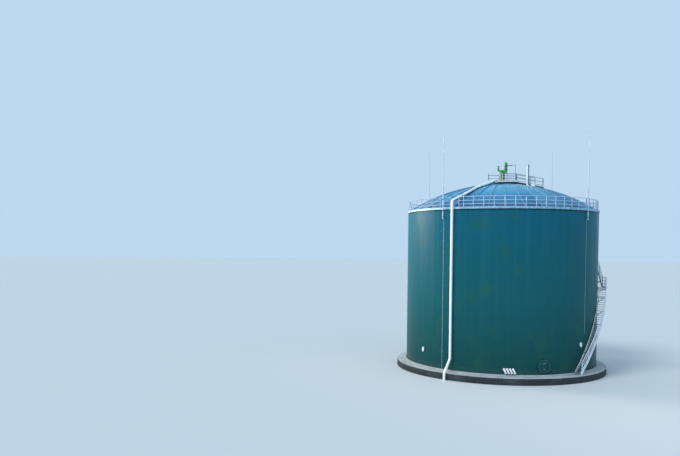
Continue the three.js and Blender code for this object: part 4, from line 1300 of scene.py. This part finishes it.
def oval(part, place, radius, thick):
    """A plate with the outline of a tall oval, its back on the place's XY plane."""
    sides = 24
    half_step = Matrix.Rotation(math.pi / sides, 4, "Z")
    circle = bmesh.ops.create_circle(
        part, cap_ends=True, segments=sides, radius=radius, matrix=half_step
    )["verts"]
    for end in (-1, 1):
        arc = [vert for vert in circle if vert.co.y * end > 0]
        bmesh.ops.translate(part, verts=arc, vec=(0.0, end * PORT_BETWEEN / 2, 0.0))
    bmesh.ops.transform(part, matrix=place, verts=circle)
    pushed(part, circle[0].link_faces[0], place.to_3x3() @ Vector((0.0, 0.0, thick)))


def wall_port(name, azimuth, height):
    """A tall oval port on a short neck, shut by a bolted blank."""
    piece = Piece(f"{name}_flanged", "white_paint", name)
    for finish, plates in (
        (cladding, [(9.99, 0.11, 0.02)]),
        (white_paint, [
            (9.98, 0.085, 0.12), (10.082, 0.125, 0.026), (10.112, 0.125, 0.024),
            (10.134, 0.07, 0.009),
        ]),
    ):
        part = piece.part(finish)
        for out, radius, thick in plates:
            oval(part, outward(azimuth, out, height), radius, thick)
        softened(part, 0.004)
    bolts = piece.part(zinc)
    cover = outward(azimuth, 10.136, height)
    for end in (-1, 1):
        for turn in range(0, 181, 45):
            x = 0.1 * math.cos(math.radians(turn))
            y = end * (PORT_BETWEEN / 2 + 0.1 * math.sin(math.radians(turn)))
            rod(bolts, cover @ Vector((x, y, 0.0)), cover @ Vector((x, y, 0.013)), 0.011, sides=6)
    piece.done()


def drain_nozzle(name, azimuth):
    """A short pipe out of the wall that turns down, leaning right, to a bolted blank."""
    piece = Piece(f"{name}_flanged", "white_paint", name)
    neck = piece.part(white_paint)
    bolts = piece.part(zinc)
    place = facing(azimuth, 0.0, WALL_FOOT)
    out, over, wide = 10.23, 0.5, 0.116
    corners = [(0.0, -9.98, over), (0.0, -out, over), (0.19, -out, 0.14)]
    corners = [place @ Vector(corner) for corner in corners]
    pipe(neck, corners, 0.078, bend=0.11, sides=20)
    flange(neck, bolts, outward(azimuth, 10.004, WALL_FOOT + over), wide, 0.03, 8, 0.02, 0.009)
    end = along(corners[2], corners[1])
    flange(neck, bolts, end @ shift(0.0, 0.0, 0.026), wide, 0.022, 8, 0.02, 0.009)
    flange(neck, bolts, end, wide, 0.022, 0)
    piece.done()


def manhole():
    """The round manhole near the foot: neck, bolted cover and handles."""
    azimuth, height = 24.6, WALL_FOOT + 0.83
    piece = Piece("manhole_cover", "wall_cladding", "manhole")
    neck = piece.part(cladding)
    bolts = piece.part(zinc)
    rod(neck, at(azimuth, 9.95, height), at(azimuth, 10.15, height), 0.54, sides=48)
    wide = 0.64
    flange(neck, bolts, outward(azimuth, 10.13, height), wide, 0.03, 0)
    cover = outward(azimuth, 10.165, height)
    flange(neck, bolts, cover, wide, 0.03, 28, 0.045, 0.02)
    turned(neck, [(0.0, 0.03), (0.46, 0.03), (0.44, 0.045), (0.0, 0.055)], cover, 48)
    handles = piece.part(galvanised)
    for y in (-0.28, 0.28):
        corners = [(-0.12, y, 0.03), (-0.12, y, 0.1), (0.12, y, 0.1), (0.12, y, 0.03)]
        grip = [cover @ Vector(corner) for corner in corners]
        pipe(handles, grip, 0.012, bend=0.03, sides=8, bend_steps=4)
    piece.done()


# Stair

STAIR_INNER = 10.08
STAIR_OUTER = 10.82
STAIR_PLATE = 0.03
STAIR_MIDDLE = (STAIR_INNER + STAIR_OUTER) / 2
STAIR_CLEAR = STAIR_OUTER - STAIR_INNER - 2 * STAIR_PLATE
RISER = 0.2045
PER_DEGREE = 0.2157
TREAD_PITCH = RISER / PER_DEGREE
STRINGER_BELOW = 0.21
STRINGER_ABOVE = 0.17
STAIR_RAILS = (0.38, 0.72, 1.06)
LOWER_START = 45.2
LOWER_TREADS = 39
LOWER_END = LOWER_START + (LOWER_TREADS + 0.5) * TREAD_PITCH
LANDING_TOP = WALL_FOOT + 8.0
UPPER_START = 97.2
UPPER_TREADS = 38
UPPER_END = UPPER_START + (UPPER_TREADS + 0.5) * TREAD_PITCH


def channel(back, edge, low, high):
    """The section of a channel-shaped stringer, its flanges reaching from its back to the edge."""
    lip = 0.014
    web = back + math.copysign(0.012, edge - back)
    return [
        (back, low), (edge, low), (edge, low + lip), (web, low + lip),
        (web, high - lip), (edge, high - lip), (edge, high), (back, high),
    ]


def brace(part, place, start, end, wide, deep):
    """A bar outwards from the wall, from one (radius, height) to another."""
    (near, low), (far, high) = start, end
    bar(part, place @ Vector((0.0, -near, low)), place @ Vector((0.0, -far, high)), wide, deep)


def stair_flight(number, start_azimuth, base, first, count):
    """A flight: two channel stringers, grating treads with nosings, and wall brackets."""
    name = f"stair_flight_{number}"
    piece = Piece(f"{name}_steel", "galvanised_steel", name)
    start = start_azimuth + (first + 0.5) * TREAD_PITCH
    end = start + count * TREAD_PITCH
    nose = base + (first + 0.5) * RISER
    strings = piece.part(bright_steel)
    steps = max(6, round((end - start) / 1.2))
    for back, edge in ((STAIR_INNER, STAIR_INNER + 0.05), (STAIR_OUTER, STAIR_OUTER - 0.05)):
        section = channel(back, edge, nose - STRINGER_BELOW, nose + STRINGER_ABOVE)
        swept(strings, section, start, end, steps, rise=count * RISER)
    treads = piece.part(tread_steel)
    top = base + (first + 1) * RISER
    place = facing(start_azimuth + (first + 1) * TREAD_PITCH, STAIR_MIDDLE, top)
    for i in range(6):
        x = -0.08 + 0.195 * i / 5
        block(treads, (0.006, STAIR_CLEAR, 0.03), place, (x, 0.0, -0.016))
    for y in (-0.2, 0.0, 0.2):
        block(treads, (0.2, 0.01, 0.02), place, (0.015, y, -0.012))
    block(treads, (0.035, STAIR_CLEAR, 0.036), place, (-0.1, 0.0, -0.018))
    for y in (-STAIR_CLEAR / 2, STAIR_CLEAR / 2):
        block(treads, (0.24, 0.01, 0.06), place, (0.0, y, -0.03))
    repeated(treads, count, span=(count - 1) * TREAD_PITCH, rise=(count - 1) * RISER)
    brackets = piece.part(tread_steel)
    bracket_count = max(1, round((end - start) / 6))
    for i in range(bracket_count):
        share = (i + 0.5) / bracket_count
        azimuth = start + share * (end - start)
        level = nose + share * count * RISER - 0.08
        wall_plate(brackets, azimuth, level - 0.05, 0.18, 0.3)
        place = facing(azimuth, 0.0, level)
        block(brackets, (0.08, 0.1, 0.08), place, (0.0, -10.06, 0.0))
        brace(brackets, place, (10.03, -0.62), (STAIR_OUTER - 0.1, -0.12), 0.05, 0.05)
        brace(brackets, place, (10.03, -0.14), (STAIR_OUTER - 0.03, -0.14), 0.05, 0.05)
    piece.done()


def stair_landing(name, start, end, top, knees):
    """A landing of plate in a channel frame, with kick plate and knee braces to the wall."""
    piece = Piece(f"{name}_steel", "galvanised_steel", name)
    frame_part = piece.part(bright_steel)
    steps = max(4, round((end - start) / 1.2))
    inner, outer = STAIR_INNER, STAIR_OUTER
    for section in (
        band(inner, inner + 0.03, top - 0.12, top),
        band(outer - 0.03, outer, top - 0.12, top),
        band(outer - 0.008, outer, top, top + 0.12),
        band(inner + 0.02, outer - 0.02, top - 0.009, top - 0.001),
    ):
        swept(frame_part, section, start, end, steps)
    cross_count = max(3, round((end - start) / 0.9))
    for i in range(cross_count + 1):
        place = facing(start + (end - start) * i / cross_count, STAIR_MIDDLE, top - 0.03)
        block(frame_part, (0.02, outer - inner, 0.04), place)
    for azimuth in knees:
        wall_plate(frame_part, azimuth, top - 0.3, 0.2, 0.5)
        place = facing(azimuth, 0.0, top)
        brace(frame_part, place, (10.02, -0.14), (outer - 0.02, -0.14), 0.06, 0.08)
        brace(frame_part, place, (10.03, -0.52), (10.66, -0.16), 0.05, 0.05)
    fascia = piece.part(white_paint)
    place = facing(start + 0.06, STAIR_MIDDLE, top - 0.071)
    block(fascia, (0.016, outer - inner - 0.01, 0.14), place)
    softened(fascia, 0.003)
    piece.done()


def stair_railing(name, start, end, base, slope):
    """The stair's outer guard rail: tubes that climb with the flight, on clamped posts."""
    piece = Piece(f"{name}_tubes", "galvanised_steel", name)
    tubes = piece.part(bright_steel)
    ring = STAIR_OUTER + 0.02
    count = max(1, round((end - start) / 4.8))
    for i in range(count + 1):
        azimuth = start + (end - start) * i / count
        foot = base + (azimuth - start) * slope - 0.12
        top = foot + 0.12 + STAIR_RAILS[-1] + 0.01
        rod(tubes, at(azimuth, ring, foot), at(azimuth, ring, top), POST, sides=10)
        for lift in (0.03, 0.13):
            block(tubes, (0.09, 0.03, 0.05), facing(azimuth, ring - 0.012, foot + lift))
    rise = (end - start) * slope
    for rail in STAIR_RAILS:
        round_rail(tubes, start, end, ring, base + rail - 0.025, rise, pitch=1.4)
    piece.done()


def stair():
    """Two flights of each rise, a landing between and one at the rim, and the guard rails."""
    lower_half = math.ceil(LOWER_TREADS / 2)
    upper_half = UPPER_TREADS // 2
    stair_flight(1, LOWER_START, SLAB_TOP, 0, lower_half)
    stair_flight(2, LOWER_START, SLAB_TOP, lower_half, LOWER_TREADS - lower_half)
    stair_flight(3, UPPER_START, LANDING_TOP, 0, upper_half)
    stair_flight(4, UPPER_START, LANDING_TOP, upper_half, upper_half)
    middle = (LOWER_END + 0.01, UPPER_START + 0.4)
    knees = (middle[0] + 1, 90.1, middle[1] - 1)
    stair_landing("stair_landing_middle", *middle, LANDING_TOP, knees)
    top = (UPPER_END + 0.01, STAIR_GATE[1] + 1)
    stair_landing("stair_landing_top", *top, EAVE_TOP, (top[0] + 1, 137.4, top[1] - 1))
    for name, start, end, base, slope in (
        ("lower", LOWER_START + 1, LOWER_END - 0.5, SLAB_TOP + RISER, PER_DEGREE),
        ("middle", LOWER_END + 0.5, UPPER_START - 0.3, LANDING_TOP, 0.0),
        ("upper", UPPER_START + 0.5, UPPER_END - 0.5, LANDING_TOP + RISER / 2, PER_DEGREE),
        ("top", UPPER_END + 0.5, STAIR_GATE[1] + 0.6, EAVE_TOP, 0.0),
    ):
        stair_railing(f"stair_railing_{name}", start, end, base, slope)


foundation()
kerb()
wall()
roof()
eave()
rim_railings()
crown_cap()
crown_deck()
crown_railings()
roof_walkway()
relief_valve()
sense_line()
vent_pipe()
gas_pipe_roof()
gas_pipe_riser()
lightning_rod("lightning_rod_front_left", -33.0, WALL_FOOT)
lightning_rod("lightning_rod_front_right", 54.4, WALL_FOOT + 3.6)
lightning_rod("lightning_rod_back_right", 145.0, WALL_FOOT)
lightning_rod("lightning_rod_back_left", 235.5, WALL_FOOT)
wall_port("wall_port_left", -48.1, WALL_FOOT + 1.63)
wall_port("wall_port_right", 50.7, WALL_FOOT + 2.66)
for number, nozzle_azimuth in enumerate((3.0, 4.6, 6.2, 7.8), 1):
    drain_nozzle(f"drain_nozzle_{number}", nozzle_azimuth)
manhole()
stair()


# Stage, light and camera

def studio():
    """A plain pale floor, a wide soft sun, a large warm light at the left and a pale even sky."""
    floor_part = bmesh.new()
    bmesh.ops.create_circle(floor_part, cap_ends=True, segments=96, radius=900.0)
    floor_mesh = bpy.data.meshes.new("studio_floor")
    floor_part.to_mesh(floor_mesh)
    floor_part.free()
    floor = placed("studio_floor", floor_mesh)
    floor.location.z = -0.004
    paper = bpy.data.materials.new("pale_studio_floor")
    paper.use_nodes = True
    shader = paper.node_tree.nodes["Principled BSDF"]
    shader.inputs["Base Color"].default_value = paint_colour("#ccd2d3")
    shader.inputs["Roughness"].default_value = 0.9
    floor_mesh.materials.append(paper)

    world = bpy.data.worlds.new("pale_sky")
    world.use_nodes = True
    background = world.node_tree.nodes["Background"]
    background.inputs["Color"].default_value = paint_colour("#bdd8ef")
    background.inputs["Strength"].default_value = 1.0
    bpy.context.scene.world = world

    sun = bpy.data.lights.new("soft_key", "SUN")
    sun.energy = 1.5
    sun.angle = math.radians(25)
    sun.color = (1.0, 0.985, 0.96)
    placed("soft_key", sun).rotation_euler = (math.radians(45), 0.0, math.radians(-38))

    glow = bpy.data.lights.new("left_glow", "AREA")
    glow.shape = "RECTANGLE"
    glow.size = 22.0
    glow.size_y = 24.0
    glow.energy = 4300.0
    glow.spread = math.radians(46)
    glow.color = (1.0, 0.8, 0.62)
    glow_object = placed("left_glow", glow)
    glow_object.location = at(-100.0, 62.0, 32.0)
    aim = at(-56.0, WALL_RADIUS, 22.0) - glow_object.location
    glow_object.rotation_euler = aim.to_track_quat("-Z", "Y").to_euler()
    glow_object.visible_camera = False
    bpy.context.scene.view_settings.view_transform = "Standard"


def camera():
    """The photograph's camera: in front of the tank, about four metres below its rim, looking past
    its left side."""
    eye = Vector((0.0, -76.27, 12.517))
    heading = math.radians(13.21)
    pitch = 0.027793
    roll = 0.0096
    level = Vector((-math.sin(heading), math.cos(heading), 0.0))
    across = Vector((math.cos(heading), math.sin(heading), 0.0))
    upright = Vector(UPRIGHT)
    forward = level * math.cos(pitch) - upright * math.sin(pitch)
    above = level * math.sin(pitch) + upright * math.cos(pitch)
    right = across * math.cos(roll) + above * math.sin(roll)
    up = -across * math.sin(roll) + above * math.cos(roll)
    data = bpy.data.cameras.new("photo_camera")
    data.lens = 36.08
    data.sensor_width = 36.0
    data.shift_y = 0.06
    data.clip_end = 2000.0
    made = placed("photo_camera", data)
    turn = Matrix((right, up, -forward)).transposed().to_4x4()
    made.matrix_world = Matrix.Translation(eye) @ turn
    bpy.context.scene.camera = made


studio()
camera()
